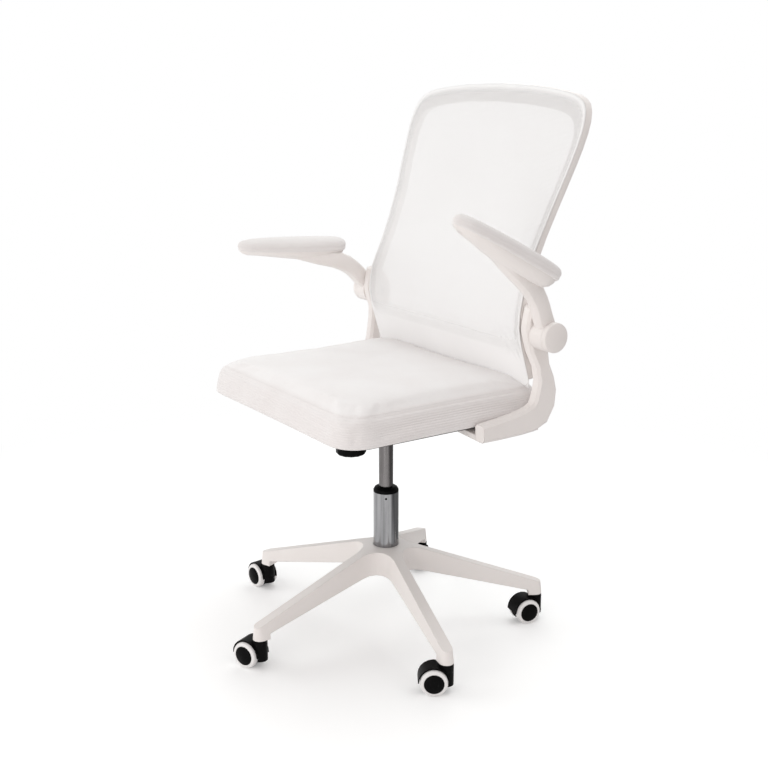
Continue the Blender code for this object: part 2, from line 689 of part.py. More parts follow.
def tilt_housing_mesh():
    width = HOUSING_HALF_WIDTH
    inner = width - HOUSING_WALL
    inner_corner = HOUSING_CORNER - HOUSING_WALL
    body = upright_prism(rounded_rectangle((-width, HOUSING_FRONT), (width, HOUSING_REAR), HOUSING_CORNER, 3),
                         HOUSING_BOTTOM, HOUSING_TOP)
    spring_room = upright_prism(
        rounded_rectangle((-SPRING_POCKET_HALF_WIDTH, HOUSING_FRONT + HOUSING_WALL),
                          (SPRING_POCKET_HALF_WIDTH, AXLE_Y - CROSS_WALL / 2), inner_corner, 3),
        HOUSING_BOTTOM - OVERCUT, POCKET_CEILING)
    cone_room = upright_prism(
        rounded_rectangle((-inner, AXLE_Y + CROSS_WALL / 2), (inner, HOUSING_REAR - HOUSING_WALL),
                          inner_corner, 3),
        HOUSING_BOTTOM + HOUSING_WALL, HOUSING_TOP + OVERCUT)
    cone = disc(CONE_RADIUS, HOUSING_BOTTOM - CONE_BELOW_HOUSING, CYLINDER_TOP, 24)
    body = union(cut(body, spring_room, cone_room), cone)
    cone_bore = disc(CYLINDER_RADIUS + RUN, HOUSING_BOTTOM - CONE_BELOW_HOUSING - OVERCUT, HOUSING_TOP, 24)
    axle_hole = moved(disc(TILT_AXLE_RADIUS + RUN, -width - OVERCUT, width + OVERCUT, 12),
                      at(0, AXLE_Y, AXLE_Z) @ ALONG_X)
    slot_half = BOLT_RADIUS + RUN
    bolt_slot = block((-slot_half, BOLT_Y - slot_half, POCKET_CEILING - OVERCUT),
                      (slot_half, BOLT_Y + BOLT_SLOT_REACH, HOUSING_TOP + OVERCUT))
    lever_half = LEVER_RADIUS + LEVER_PLAY / 2
    lever_slot = block((-width - OVERCUT, -lever_half, LEVER_Z - LEVER_RADIUS - LEVER_PLAY),
                       (-inner + HOUSING_WALL, lever_half, HOUSING_TOP + OVERCUT))
    return cut(body, cone_bore, axle_hole, bolt_slot, lever_slot)


def tilt_axle_mesh():
    end = HOUSING_HALF_WIDTH + RUN + EAR_THICKNESS + AXLE_PROUD
    return moved(disc(TILT_AXLE_RADIUS, -end, end, 12), at(0, AXLE_Y, AXLE_Z) @ ALONG_X)


def seat_plate_mesh():
    outline = rounded_rectangle((-PLATE_HALF_WIDTH, HOUSING_FRONT - PLATE_NOSE),
                                (PLATE_HALF_WIDTH, PLATE_REAR), PLATE_CORNER, 4)
    plate = upright_prism(outline, PLATE_UNDERSIDE, PLATE_TOP)
    ear_top = PLATE_TOP - PLATE_THICKNESS / 2
    ear = [(AXLE_Y - EAR_HALF_LENGTH, ear_top)]
    ear += arc_points((AXLE_Y, AXLE_Z), EAR_RADIUS, 180, 360, 8)
    ear += [(AXLE_Y + EAR_HALF_LENGTH, ear_top)]
    inner = HOUSING_HALF_WIDTH + RUN
    ears = [side_prism(ear, side * inner, side * (inner + EAR_THICKNESS)) for side in (-1, 1)]
    hole = moved(disc(TILT_AXLE_RADIUS + RUN, -PLATE_HALF_WIDTH, PLATE_HALF_WIDTH, 12),
                 at(0, AXLE_Y, AXLE_Z) @ ALONG_X)
    return cut(union(plate, *ears), hole)


def tension_bolt_mesh():
    top = PLATE_UNDERSIDE - FIT
    low = KNOB_BOTTOM + KNOB_SKIN + KNOB_TRAVEL
    bolt = turned([(0, low), (BOLT_RADIUS, low), (BOLT_RADIUS, top - BOLT_HEAD),
                   (BOLT_HEAD_RADIUS, top - BOLT_HEAD), (BOLT_HEAD_RADIUS, top), (0, top)], 12)
    return moved(bolt, at(0, BOLT_Y, 0))


def tension_knob_mesh():
    loops = []
    count = 4 * KNOB_LOBES
    for inset, height in ((KNOB_EDGE, KNOB_BOTTOM), (0, KNOB_BOTTOM + KNOB_EDGE),
                          (0, KNOB_TOP - KNOB_EDGE / 2), (KNOB_EDGE / 2, KNOB_TOP)):
        loop = []
        for i in range(count):
            angle = 2 * pi * i / count
            lobe = KNOB_LOBE_DEPTH * (0.5 - 0.5 * cos(KNOB_LOBES * angle))
            radius = KNOB_RADIUS - inset - lobe
            loop.append((radius * cos(angle), BOLT_Y + radius * sin(angle), height))
        loops.append(loop)
    bore = moved(disc(BOLT_RADIUS + RUN, KNOB_BOTTOM + KNOB_SKIN, KNOB_TOP + OVERCUT, 12), at(0, BOLT_Y, 0))
    return cut(loft(loops), bore)


def spring_cup_mesh():
    cup = turned([(BOLT_RADIUS + RUN, CUP_BOTTOM), (CUP_RADIUS, CUP_BOTTOM), (CUP_RADIUS, CUP_TOP),
                  (BOLT_RADIUS + RUN, CUP_TOP)], 16)
    return moved(cup, at(0, BOLT_Y, 0))


def spring_points():
    low = CUP_TOP + FIT + SPRING_WIRE_RADIUS
    high = POCKET_CEILING - FIT - SPRING_WIRE_RADIUS
    count = SPRING_TURNS * SPRING_POINTS_PER_TURN
    points = []
    for i in range(count + 1):
        angle = 2 * pi * i / SPRING_POINTS_PER_TURN
        points.append(Vector((SPRING_RADIUS * cos(angle), BOLT_Y + SPRING_RADIUS * sin(angle),
                              low + (high - low) * i / count)))
    return points


def add_spring(name, material, frame):
    points = spring_points()
    half_turn = SPRING_POINTS_PER_TURN // 2
    gap = min((a - b).length for i, a in enumerate(points) for b in points[i + half_turn:])
    print("tension spring: least gap between curls %.2f mm" % ((gap - 2 * SPRING_WIRE_RADIUS) * 1000))
    curve = bpy.data.curves.new(name, "CURVE")
    curve.dimensions = "3D"
    curve.bevel_depth = SPRING_WIRE_RADIUS
    curve.bevel_resolution = 1
    curve.use_fill_caps = True
    spline = curve.splines.new("POLY")
    spline.points.add(len(points) - 1)
    to_frame = frame_places[frame.name].inverted()
    for slot, point in zip(spline.points, points):
        slot.co = (*(to_frame @ point), 1)
    curve.materials.append(material)
    spring = bpy.data.objects.new(name, curve)
    bpy.context.collection.objects.link(spring)
    spring.parent = frame
    return spring


def lift_lever_mesh():
    # A round bar in the XZ plane; each section stands square to its path.
    end = PADDLE_X - ROD_IN_PADDLE
    bend = LEVER_PIVOT_X - LEVER_BEND
    route = [(LEVER_PIVOT_X + LEVER_TONGUE, 0, LEVER_Z), (LEVER_PIVOT_X, 0, LEVER_Z), (bend, 0, LEVER_Z),
             ((bend + 2 * PADDLE_X) / 3, 0, PADDLE_Z), (PADDLE_X, 0, PADDLE_Z), (end, 0, PADDLE_Z)]
    path = smooth_path(route, 3)
    across = Vector((0, 1, 0))
    loops = []
    for i, point in enumerate(path):
        ahead = path[min(i + 1, len(path) - 1)] - path[max(i - 1, 0)]
        up = ahead.normalized().cross(across)
        turns = [2 * pi * j / 10 for j in range(10)]
        loops.append([point + LEVER_RADIUS * (cos(a) * across + sin(a) * up) for a in turns])
    return loft(loops)


def lever_paddle_mesh():
    loops = []
    for share, width, depth in ((0.0, 0.55, 0.85), (0.08, 0.70, 1.0), (0.35, 0.95, 1.0), (0.75, 1.0, 0.85),
                                (0.94, 0.85, 0.6), (1.0, 0.55, 0.35)):
        ring = []
        for j in range(14):
            angle = 2 * pi * j / 14
            ring.append((PADDLE_X - PADDLE_LENGTH * share, PADDLE_HALF_WIDTH * width * cos(angle),
                         PADDLE_Z + PADDLE_HALF_THICKNESS * depth * sin(angle)))
        loops.append(ring)
    bore = disc(LEVER_RADIUS + FIT, PADDLE_X - ROD_IN_PADDLE - FIT, PADDLE_X + OVERCUT, 10)
    return cut(loft(loops), moved(bore, at(0, 0, PADDLE_Z) @ ALONG_X))


# Seat

def seat_pan_mesh():
    half_width = CUSHION_HALF_WIDTH - PAN_INSET
    outline = rounded_rectangle((-half_width, CUSHION_FRONT + PAN_INSET),
                                (half_width, CUSHION_REAR - PAN_INSET), PAN_CORNER, 6)
    return upright_prism(outline, PAN_BOTTOM, PAN_TOP)


def cushion_outline():
    points = rounded_rectangle((-CUSHION_HALF_WIDTH, CUSHION_FRONT), (CUSHION_HALF_WIDTH, CUSHION_REAR),
                               CUSHION_CORNER, 6)
    filled = []
    for i, point in enumerate(points):
        after = points[(i + 1) % len(points)]
        pieces = max(1, round(hypot(after[0] - point[0], after[1] - point[1]) / CUSHION_CORNER))
        for j in range(pieces):
            x = point[0] + (after[0] - point[0]) * j / pieces
            y = point[1] + (after[1] - point[1]) * j / pieces
            side = x / CUSHION_HALF_WIDTH
            along = (y - CUSHION_MIDDLE_Y) / CUSHION_HALF_LENGTH
            filled.append((x - CUSHION_DRAW_IN * side * (1 - along**2),
                           y - CUSHION_DRAW_IN * along * (1 - side**2)))
    return filled


def seat_cushion_mesh():
    height = CUSHION_EDGE_HEIGHT
    rows = [(CUSHION_FOOT_ROUNDING, CUSHION_BOTTOM), (0, CUSHION_BOTTOM + CUSHION_FOOT_ROUNDING),
            (0, CUSHION_BOTTOM + 0.40 * height), (0.1 * CUSHION_SHOULDER, CUSHION_BOTTOM + 0.73 * height),
            (0.5 * CUSHION_SHOULDER, SEAM_Z - 3 * SEAM_HALF_STEP),
            (0.8 * CUSHION_SHOULDER, SEAM_Z - SEAM_HALF_STEP), (CUSHION_SHOULDER, SEAM_Z + SEAM_HALF_STEP)]
    for share in (0.04, 0.14, 0.31, 0.52, 0.76):
        inset = CUSHION_SHOULDER + share * (CUSHION_HALF_LENGTH - CUSHION_SHOULDER)
        rows.append((inset, SEAM_Z + SEAM_HALF_STEP + CUSHION_CROWN * sqrt(1 - (1 - share) ** 2)))
    outline = cushion_outline()
    loops = []
    for inset, z in rows:
        narrow = 1 - inset / CUSHION_HALF_WIDTH
        short = 1 - inset / CUSHION_HALF_LENGTH
        loops.append([(x * narrow, CUSHION_MIDDLE_Y + (y - CUSHION_MIDDLE_Y) * short, z) for x, y in outline])
    return loft(loops)


# Side brackets

def bracket_path():
    # (y, z, half depth) along the middle of the cheek, from the foot up to the tip of the head.
    low = FLANGE_BOTTOM
    knee_half = (FOOT_HALF_DEPTH + KNEE_HALF_DEPTH) / 2
    calf_half = (KNEE_HALF_DEPTH + NECK_HALF_DEPTH) / 2 + 0.1 * KNEE_HALF_DEPTH
    return smooth_path([
        (FLANGE_FRONT, low + FOOT_HALF_DEPTH, FOOT_HALF_DEPTH),
        (PIVOT_Y - 0.052, low + knee_half, knee_half),
        (PIVOT_Y - 0.0055, low + 0.19 * PIVOT_RISE, KNEE_HALF_DEPTH),
        (PIVOT_Y + 0.0085, low + 0.41 * PIVOT_RISE, calf_half),
        (PIVOT_Y + 0.0030, low + 0.68 * PIVOT_RISE, NECK_HALF_DEPTH),
        (PIVOT_Y + 0.0015, PIVOT_Z - 0.16 * HEAD_RISE, HEAD_HALF_DEPTH),
        (PIVOT_Y - 0.0040, PIVOT_Z + 0.40 * HEAD_RISE, HEAD_HALF_DEPTH),
        (PIVOT_Y - 0.0125, PIVOT_Z + 0.81 * HEAD_RISE, HEAD_CROWN_HALF_DEPTH),
        (PIVOT_Y - 0.0170, PIVOT_Z + HEAD_RISE, HEAD_TIP_HALF_DEPTH)], 2)


def side_bracket_mesh():
    path = bracket_path()
    lean_start = 0.58 * PIVOT_RISE
    lean_length = 0.25 * PIVOT_RISE
    loops = []
    for i, (y, z, half) in enumerate(path):
        along = path[min(i + 1, len(path) - 1)] - path[max(i - 1, 0)]
        rear = Vector((along.y, -along.x)).normalized()
        lean = ease((z - FLANGE_BOTTOM - lean_start) / lean_length)
        inner = BRACKET_INNER_X + (HEAD_INNER_X - BRACKET_INNER_X) * lean
        outer = inner + BRACKET_THICKNESS
        trim = min(BRACKET_ROUNDING, 0.6 * half)
        loop = []
        for x, reach in ((inner + trim, -half), (outer - trim, -half), (outer, trim - half),
                         (outer, half - trim), (outer - trim, half), (inner + trim, half),
                         (inner, half - trim), (inner, trim - half)):
            loop.append((x, y + rear.x * reach, z + rear.y * reach))
        loops.append(loop)
    root = BRACKET_INNER_X + BRACKET_THICKNESS / 2
    reach = BRACKET_INNER_X - FLANGE_REACH
    end = FLANGE_FRONT + FLANGE_LENGTH
    flange = upright_prism([(root, FLANGE_FRONT + FIT), (reach, FLANGE_FRONT + FLANGE_SPLAY),
                            (reach, end - FLANGE_SPLAY), (root, end)], FLANGE_BOTTOM, FLANGE_TOP)
    hole = disc(PIN_RADIUS + FIT, HEAD_INNER_X - OVERCUT, HEAD_OUTER_X + OVERCUT, 16)
    return cut(union(loft(loops), flange), moved(hole, at(0, PIVOT_Y, PIVOT_Z) @ ALONG_X))


# Back

def back_depth(z):
    # Y of the mesh's front face: a lumbar bulge low down, then a lean back.
    bulge = PIVOT_Y - LUMBAR_LEAD
    foot = LUMBAR_LEAD + BACK_FOOT_LAG
    lean = LUMBAR_LEAD + BACK_TOP_LAG
    knots = [(0, bulge + foot), (0.065, bulge + 0.62 * foot), (0.143, bulge + 0.18 * foot), (0.210, bulge),
             (0.278, bulge + 0.038 * lean), (0.374, bulge + 0.157 * lean), (0.605, bulge + 0.49 * lean),
             (1, bulge + lean)]
    return smooth_value(knots, (z - BACK_BOTTOM) / BACK_HEIGHT)


def back_outline():
    # The right half runs up from the middle of the foot; the sides are flat where the brackets hold them.
    lower, waist = BACK_LOWER_HALF_WIDTH, BACK_WAIST_HALF_WIDTH
    shoulder, crest = BACK_SHOULDER_HALF_WIDTH, BACK_CREST_HALF_WIDTH
    half = [(0, 0), (0.46 * lower, 0), (0.88 * lower, 0), (0.972 * lower, 0.006), (1.003 * lower, 0.040),
            (1.003 * lower, 0.245), (waist, 0.413), (0.7 * waist + 0.3 * shoulder, 0.587),
            (0.2 * waist + 0.8 * shoulder, 0.741), (shoulder, 0.8475),
            (0.75 * shoulder + 0.25 * crest, 0.917), (crest, 0.955), (0.81 * crest, 0.978),
            (0.43 * crest, 0.9945), (0, 1)]
    right = smooth_path([(x, 0, BACK_BOTTOM + share * BACK_HEIGHT) for x, share in half], 2)
    for point in right:
        if point.z < BACK_BOTTOM + 0.35 * BACK_HEIGHT:
            point.x = min(point.x, lower)
    left = [Vector((-p.x, 0, p.z)) for p in reversed(right[1:-1])]
    return right + left


def frame_band(point):
    # From a point of the outline to the inner edge of the frame, which is the same outline made smaller.
    middle = BACK_BOTTOM + BACK_HEIGHT / 2
    return Vector((-point.x * FRAME_SIDE_BAND / BACK_LOWER_HALF_WIDTH, 0,
                   (middle - point.z) * 2 * FRAME_END_BAND / BACK_HEIGHT))


def split_quads(mesh):
    # Cuts each quad along its shorter diagonal, so that the net and the frame behind it crease alike.
    bm = bmesh.new()
    bm.from_mesh(mesh)
    bmesh.ops.triangulate(bm, faces=bm.faces, quad_method="SHORT_EDGE")
    bm.to_mesh(mesh)
    bm.free()
    return mesh


def back_frame_mesh():
    points = back_outline()
    front = MESH_THICKNESS + FIT
    rear = front + FRAME_THICKNESS
    loops = []
    for point in points:
        band = frame_band(point)
        trim = FRAME_CHAMFER / band.length
        loop = []
        for share, offset in ((0, front), (0, rear - FRAME_CHAMFER), (trim, rear), (1 - trim, rear),
                              (1, rear - FRAME_CHAMFER), (1, front)):
            spot = point + band * share
            loop.append((spot.x, back_depth(spot.z) + offset, spot.z))
        loops.append(loop)
    return split_quads(loft(loops, ring=True))


def back_mesh_mesh():
    points = back_outline()
    count = len(points)
    centre = Vector((0, 0, BACK_BOTTOM + BACK_HEIGHT / 2))
    window = [point + frame_band(point) for point in points]
    rings = [(points, 0)]
    for share in (1.0, 0.75, 0.5, 0.25):
        rings.append(([centre + (point - centre) * share for point in window], MESH_BOW * (1 - share**2)))
    bm = bmesh.new()
    faces = []
    for layer in (0, MESH_THICKNESS):
        rows = []
        for ring, bow in rings:
            rows.append([bm.verts.new((p.x, back_depth(p.z) + bow + layer, p.z)) for p in ring])
        pole = bm.verts.new((0, back_depth(centre.z) + MESH_BOW + layer, centre.z))
        for i in range(count):
            bm.faces.new((rows[-1][i], rows[-1][(i + 1) % count], pole))
        faces.append(rows)
    front, rear = faces
    strip = front[::-1] + rear
    for lower, upper in zip(strip[:-1], strip[1:]):
        for i in range(count):
            k = (i + 1) % count
            bm.faces.new((lower[i], lower[k], upper[k], upper[i]))
    return split_quads(to_mesh(bm))


# Arms, drawn from the pivot with the pad level

def pad_half_width(share):
    # share runs from 0 at the rear to 1 at the tip
    return PAD_HALF_WIDTH * smooth_value([(0, 0.62), (0.12, 0.90), (0.35, 1.0), (0.7, 0.88), (0.92, 0.62),
                                          (1.0, 0.36)], share)


def pad_outline(inset):
    steps = 12
    blunt = 0.6 * PAD_HALF_WIDTH
    length = PAD_LENGTH - 2 * inset
    outer, inner = [], []
    for i in range(steps + 1):
        share = 0.5 - 0.5 * cos(pi * i / steps)
        from_end = min(share, 1 - share) * length
        round_off = sqrt(max(0, 1 - (1 - min(1, from_end / blunt)) ** 2))
        half = max((pad_half_width(share) - inset) * round_off, 0.04 * PAD_HALF_WIDTH)
        y = -PAD_REAR - inset - length * share
        outer.append((PAD_MIDDLE_X + half, y))
        inner.append((PAD_MIDDLE_X - half, y))
    return outer + inner[::-1]


def pad_sweep(y):
    # 0 under the rear of the pad, 1 at its tip
    return ease(((-y - PAD_REAR) / PAD_LENGTH - 0.3) / 0.7)


def arm_pad_mesh():
    low, edge = PAD_UNDERSIDE, PAD_UNDERSIDE + PAD_EDGE_HEIGHT
    top = edge + PAD_CROWN
    width = PAD_HALF_WIDTH
    rows = [(SHELL_LIP, low), (0.02 * width, low + 0.25 * PAD_EDGE_HEIGHT), (0, low + 0.55 * PAD_EDGE_HEIGHT),
            (0.05 * width, edge - 0.12 * PAD_EDGE_HEIGHT), (0.14 * width, edge),
            (0.32 * width, edge + 0.55 * PAD_CROWN), (0.60 * width, top)]
    loops = []
    for inset, z in rows:
        rise = PAD_TIP_RISE * (top - z) / (top - low)
        loops.append([(x, y, z + rise * pad_sweep(y)) for x, y in pad_outline(inset)])
    return loft(loops, rungs=True)


def arm_path():
    # (y, z, half depth) along the middle of the leg, from the drum up under the pad.
    base = PAD_UNDERSIDE
    return smooth_path([
        (0, 0.04 * base, ARM_ROOT_HALF_DEPTH),
        (-0.52 * PAD_REAR, 0.33 * base, ARM_LEG_HALF_DEPTH),
        (-0.92 * PAD_REAR, 0.55 * base, ARM_LEG_HALF_DEPTH),
        (-PAD_REAR - 0.115 * PAD_LENGTH, base - 1.12 * SHELL_DEPTH, 1.05 * ARM_LEG_HALF_DEPTH),
        (-PAD_REAR - 0.315 * PAD_LENGTH, base - 0.85 * SHELL_DEPTH, 0.75 * ARM_LEG_HALF_DEPTH),
        (-PAD_REAR - 0.57 * PAD_LENGTH, base - 0.45 * SHELL_DEPTH, ARM_TOE_HALF_DEPTH)], 2)


def arm_mesh():
    top = PAD_UNDERSIDE - FIT
    shell_loops = []
    for inset, drop in ((0.44, 1.0), (0.16, 0.72), (0.02, 0.3), (0, 0)):
        loop = []
        for x, y in pad_outline(inset * PAD_HALF_WIDTH + SHELL_LIP):
            thin = 1 - (1 - SHELL_TIP_SHARE) * pad_sweep(y)
            loop.append((x, y, top + PAD_TIP_RISE * pad_sweep(y) - SHELL_DEPTH * drop * thin))
        shell_loops.append(loop)
    shell = loft(shell_loops, rungs=True)
    drum = moved(disc(DRUM_RADIUS, DRUM_INNER_X, DRUM_OUTER_X, 28), ALONG_X)
    path = arm_path()
    count = len(path)
    loops = []
    for i, (y, z, half_depth) in enumerate(path):
        along = path[min(i + 1, count - 1)] - path[max(i - 1, 0)]
        rear = Vector((along.y, -along.x)).normalized()
        share = i / (count - 1)
        spread = max(0, 2 * share - 1)
        toe = max(0, (share - 0.7) / 0.3)
        half_width = DRUM_LENGTH / 2 - DRUM_INSET + ARM_SPREAD * spread - ARM_TOE_NARROWING * toe
        middle = DRUM_MIDDLE_X + PAD_OUTSET / 2 * spread
        ring = []
        for j in range(12):
            angle = 2 * pi * (j + 0.5) / 12
            across = half_width * abs(cos(angle)) ** 0.6 * (1 if cos(angle) > 0 else -1)
            deep = half_depth * abs(sin(angle)) ** 0.6 * (1 if sin(angle) > 0 else -1)
            ring.append((middle + across, y + rear.x * deep, z + rear.y * deep))
        loops.append(ring)
    bore = moved(disc(PIN_RADIUS + RUN, DRUM_INNER_X - OVERCUT, DRUM_OUTER_X + OVERCUT, 16), ALONG_X)
    return cut(union(shell, loft(loops), drum), bore)


def arm_pin_mesh():
    pin = disc(PIN_RADIUS, HEAD_INNER_X + 2 * FIT, DRUM_OUTER_X - FIT, 16)
    return moved(pin, at(0, PIVOT_Y, PIVOT_Z) @ ALONG_X)


def arm_cap_mesh():
    low = DRUM_OUTER_X + FIT
    high = low + CAP_THICKNESS
    profile = [(0, low), (DRUM_RADIUS, low), (DRUM_RADIUS, high - CAP_ROUNDING),
               (DRUM_RADIUS - 0.3 * CAP_ROUNDING, high - 0.3 * CAP_ROUNDING),
               (DRUM_RADIUS - CAP_ROUNDING, high), (0, high + CAP_CROWN)]
    return moved(turned(profile, 28), ALONG_X)


def build_casters(root, black, steel, tread):
    hood, hub, tyre = caster_hood_mesh(), wheel_hub_mesh(), tyre_mesh()
    for index in range(LEG_COUNT):
        number = index + 1
        spot = Matrix.Translation(stem_place(index))
        heading = spot @ Matrix.Rotation(radians(CASTER_HEADINGS[index]), 4, "Z")
        swivel = add_frame("caster_swivel_%d" % number, heading, root)
        add_piece("caster_stem_%d" % number, moved(caster_stem_mesh(), spot), steel, root)
        add_piece("caster_hood_%d" % number, hood, black, swivel, False)
        for label, flip in (("a", 0), ("b", pi)):
            axle = heading @ at(CASTER_TRAIL, 0, WHEEL_RADIUS) @ Matrix.Rotation(flip, 4, "Z")
            spin = add_frame("wheel_spin_%d%s" % (number, label), axle, swivel)
            add_piece("wheel_hub_%d%s" % (number, label), hub, black, spin, False)
            add_piece("tyre_%d%s" % (number, label), tyre, tread, spin, False)


def build_lift(root, chrome, black, grey, steel):
    add_piece("lift_tube", lift_tube_mesh(), chrome, root)
    add_piece("lift_bush", lift_bush_mesh(), black, root)
    spindle = add_frame("lift_turn", Matrix.Identity(4), root)
    add_piece("lift_bearing", lift_bearing_mesh(), steel, spindle)
    add_piece("piston_rod", piston_rod_mesh(), steel, spindle)
    lift = add_frame("lift_slide", at(0, 0, CYLINDER_BOTTOM), spindle)
    add_piece("lift_cylinder", lift_cylinder_mesh(), grey, lift)
    valve = add_frame("valve_slide", at(0, 0, CYLINDER_TOP), lift)
    add_piece("valve_button", valve_button_mesh(), steel, valve)
    return lift


def build_mechanism(lift, black, steel):
    add_piece("tilt_housing", tilt_housing_mesh(), black, lift)
    add_piece("tilt_axle", tilt_axle_mesh(), steel, lift)
    add_spring("tension_spring", steel, lift)
    lever = add_frame("lever_hinge", at(LEVER_PIVOT_X, 0, LEVER_Z), lift)
    add_piece("lift_lever", lift_lever_mesh(), steel, lever)
    add_piece("lever_paddle", lever_paddle_mesh(), black, lever)
    tilt = add_frame("seat_tilt", at(0, AXLE_Y, AXLE_Z), lift)
    add_piece("seat_plate", seat_plate_mesh(), black, tilt)
    add_piece("tension_bolt", tension_bolt_mesh(), steel, tilt)
    cup = add_frame("cup_slide", at(0, BOLT_Y, CUP_BOTTOM), tilt)
    add_piece("spring_cup", spring_cup_mesh(), steel, cup)
    knob = add_frame("knob_turn", at(0, BOLT_Y, KNOB_BOTTOM), cup)
    add_piece("tension_knob", tension_knob_mesh(), black, knob)
    return tilt


def build_seat(tilt, board, fabric, white, net):
    add_piece("seat_pan", seat_pan_mesh(), board, tilt)
    add_piece("seat_cushion", seat_cushion_mesh(), fabric, tilt)
    for label, side in (("left", 1), ("right", -1)):
        add_piece("side_bracket_" + label, for_side(side_bracket_mesh(), side), white, tilt)
    add_piece("back_frame", back_frame_mesh(), white, tilt)
    add_piece("back_mesh", back_mesh_mesh(), net, tilt)


def build_arms(tilt, white, fabric, steel):
    for label, side, raised in (("left", 1, LEFT_ARM_RAISED), ("right", -1, RIGHT_ARM_RAISED)):
        turn = Matrix.Rotation(-radians(raised), 4, "X")
        hinge = add_frame("arm_hinge_" + label, at(0, PIVOT_Y, PIVOT_Z) @ turn, tilt)
        add_piece("arm_pin_" + label, for_side(arm_pin_mesh(), side), steel, tilt)
        add_piece("arm_" + label, for_side(arm_mesh(), side), white, hinge, False)
        add_piece("arm_pad_" + label, for_side(arm_pad_mesh(), side), fabric, hinge, False)
        add_piece("arm_cap_" + label, for_side(arm_cap_mesh(), side), white, hinge, False)


def centre_footprint(root):
    # Brings the middle of the chair's length over the origin.
    bpy.context.view_layer.update()
    lengthwise = []
    for piece in bpy.data.objects:
        if piece.type == "MESH":
            lengthwise += [(piece.matrix_world @ vertex.co).y for vertex in piece.data.vertices]
    root.location.y = -(min(lengthwise) + max(lengthwise)) / 2


def build_chair():
    clear_scene()
    white = finish("white_nylon", (0.86, 0.84, 0.82), 0.45)
    tread = finish("white_tread", (0.84, 0.83, 0.82), 0.5)
    black = finish("black_nylon", (0.018, 0.018, 0.020), 0.42)
    chrome = finish("chrome", (0.80, 0.81, 0.82), 0.10, 1.0)
    grey = finish("grey_cylinder", (0.30, 0.31, 0.32), 0.28, 1.0)
    steel = finish("plain_steel", (0.42, 0.42, 0.43), 0.35, 1.0)
    board = finish("seat_board", (0.05, 0.05, 0.05), 0.7)
    fabric = finish("white_fabric", (0.88, 0.86, 0.85), 0.9)
    net = finish("white_mesh", (0.90, 0.89, 0.88), 0.85)
    root = add_frame("base", Matrix.Identity(4))
    add_piece("star_base", star_base_mesh(), white, root)
    build_casters(root, black, steel, tread)
    lift = build_lift(root, chrome, black, grey, steel)
    tilt = build_mechanism(lift, black, steel)
    build_seat(tilt, board, fabric, white, net)
    build_arms(tilt, white, fabric, steel)
    centre_footprint(root)


build_chair()
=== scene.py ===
import bpy
import bmesh
import json
import math
import numpy as np
from mathutils import Matrix, Vector
from mathutils.bvhtree import BVHTree
from mathutils.kdtree import KDTree


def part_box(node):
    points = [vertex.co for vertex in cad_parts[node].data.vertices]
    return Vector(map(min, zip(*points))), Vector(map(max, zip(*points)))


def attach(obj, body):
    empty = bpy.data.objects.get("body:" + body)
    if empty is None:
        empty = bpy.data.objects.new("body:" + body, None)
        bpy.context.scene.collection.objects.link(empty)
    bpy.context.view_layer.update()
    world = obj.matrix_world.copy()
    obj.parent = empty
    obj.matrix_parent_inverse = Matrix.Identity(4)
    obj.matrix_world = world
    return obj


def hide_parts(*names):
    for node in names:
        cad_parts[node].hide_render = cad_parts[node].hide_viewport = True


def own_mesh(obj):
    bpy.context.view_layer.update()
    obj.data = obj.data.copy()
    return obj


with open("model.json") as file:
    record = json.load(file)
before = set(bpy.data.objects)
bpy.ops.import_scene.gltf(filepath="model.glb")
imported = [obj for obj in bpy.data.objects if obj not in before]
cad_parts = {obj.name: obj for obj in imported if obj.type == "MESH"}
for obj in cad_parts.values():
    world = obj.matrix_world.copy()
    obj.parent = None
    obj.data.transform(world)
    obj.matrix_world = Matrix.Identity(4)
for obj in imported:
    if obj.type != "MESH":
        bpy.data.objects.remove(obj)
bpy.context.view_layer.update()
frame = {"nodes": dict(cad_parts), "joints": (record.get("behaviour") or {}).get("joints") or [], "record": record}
nodes = frame["nodes"]
print("frame loaded:", len(nodes), "nodes")


# small tools

tiny = 1e-9  # keeps divisors off zero
joinWithin = 1e-7  # points closer than this become one


def smoothStep(share):
    share = min(max(share, 0.0), 1.0)
    return share * share * (3 - 2 * share)


def smoothValue(knots, where):
    # a smooth curve through (position, value) knots
    if where <= knots[0][0]:
        return knots[0][1]
    if where >= knots[-1][0]:
        return knots[-1][1]
    i = max(k for k in range(len(knots) - 1) if knots[k][0] <= where)
    before, start = knots[max(i - 1, 0)], knots[i]
    end, after = knots[i + 1], knots[min(i + 2, len(knots) - 1)]
    span = end[0] - start[0]
    slopeIn = (end[1] - before[1]) / (end[0] - before[0])
    slopeOut = (after[1] - start[1]) / (after[0] - start[0])
    t = (where - start[0]) / span
    return ((2 * t**3 - 3 * t**2 + 1) * start[1] + (t**3 - 2 * t**2 + t) * span * slopeIn
            + (3 * t**2 - 2 * t**3) * end[1] + (t**3 - t**2) * span * slopeOut)


def smoothPath(points, steps):
    # a smooth line through points, in the given count of steps from each to the next
    path = []
    for i in range(len(points) - 1):
        p0, p1 = Vector(points[max(i - 1, 0)]), Vector(points[i])
        p2, p3 = Vector(points[i + 1]), Vector(points[min(i + 2, len(points) - 1)])
        for j in range(steps):
            t = j / steps
            path.append(0.5 * (2 * p1 + (p2 - p0) * t + (2 * p0 - 5 * p1 + 4 * p2 - p3) * t * t
                               + (3 * p1 - p0 - 3 * p2 + p3) * t**3))
    path.append(Vector(points[-1]))
    return path


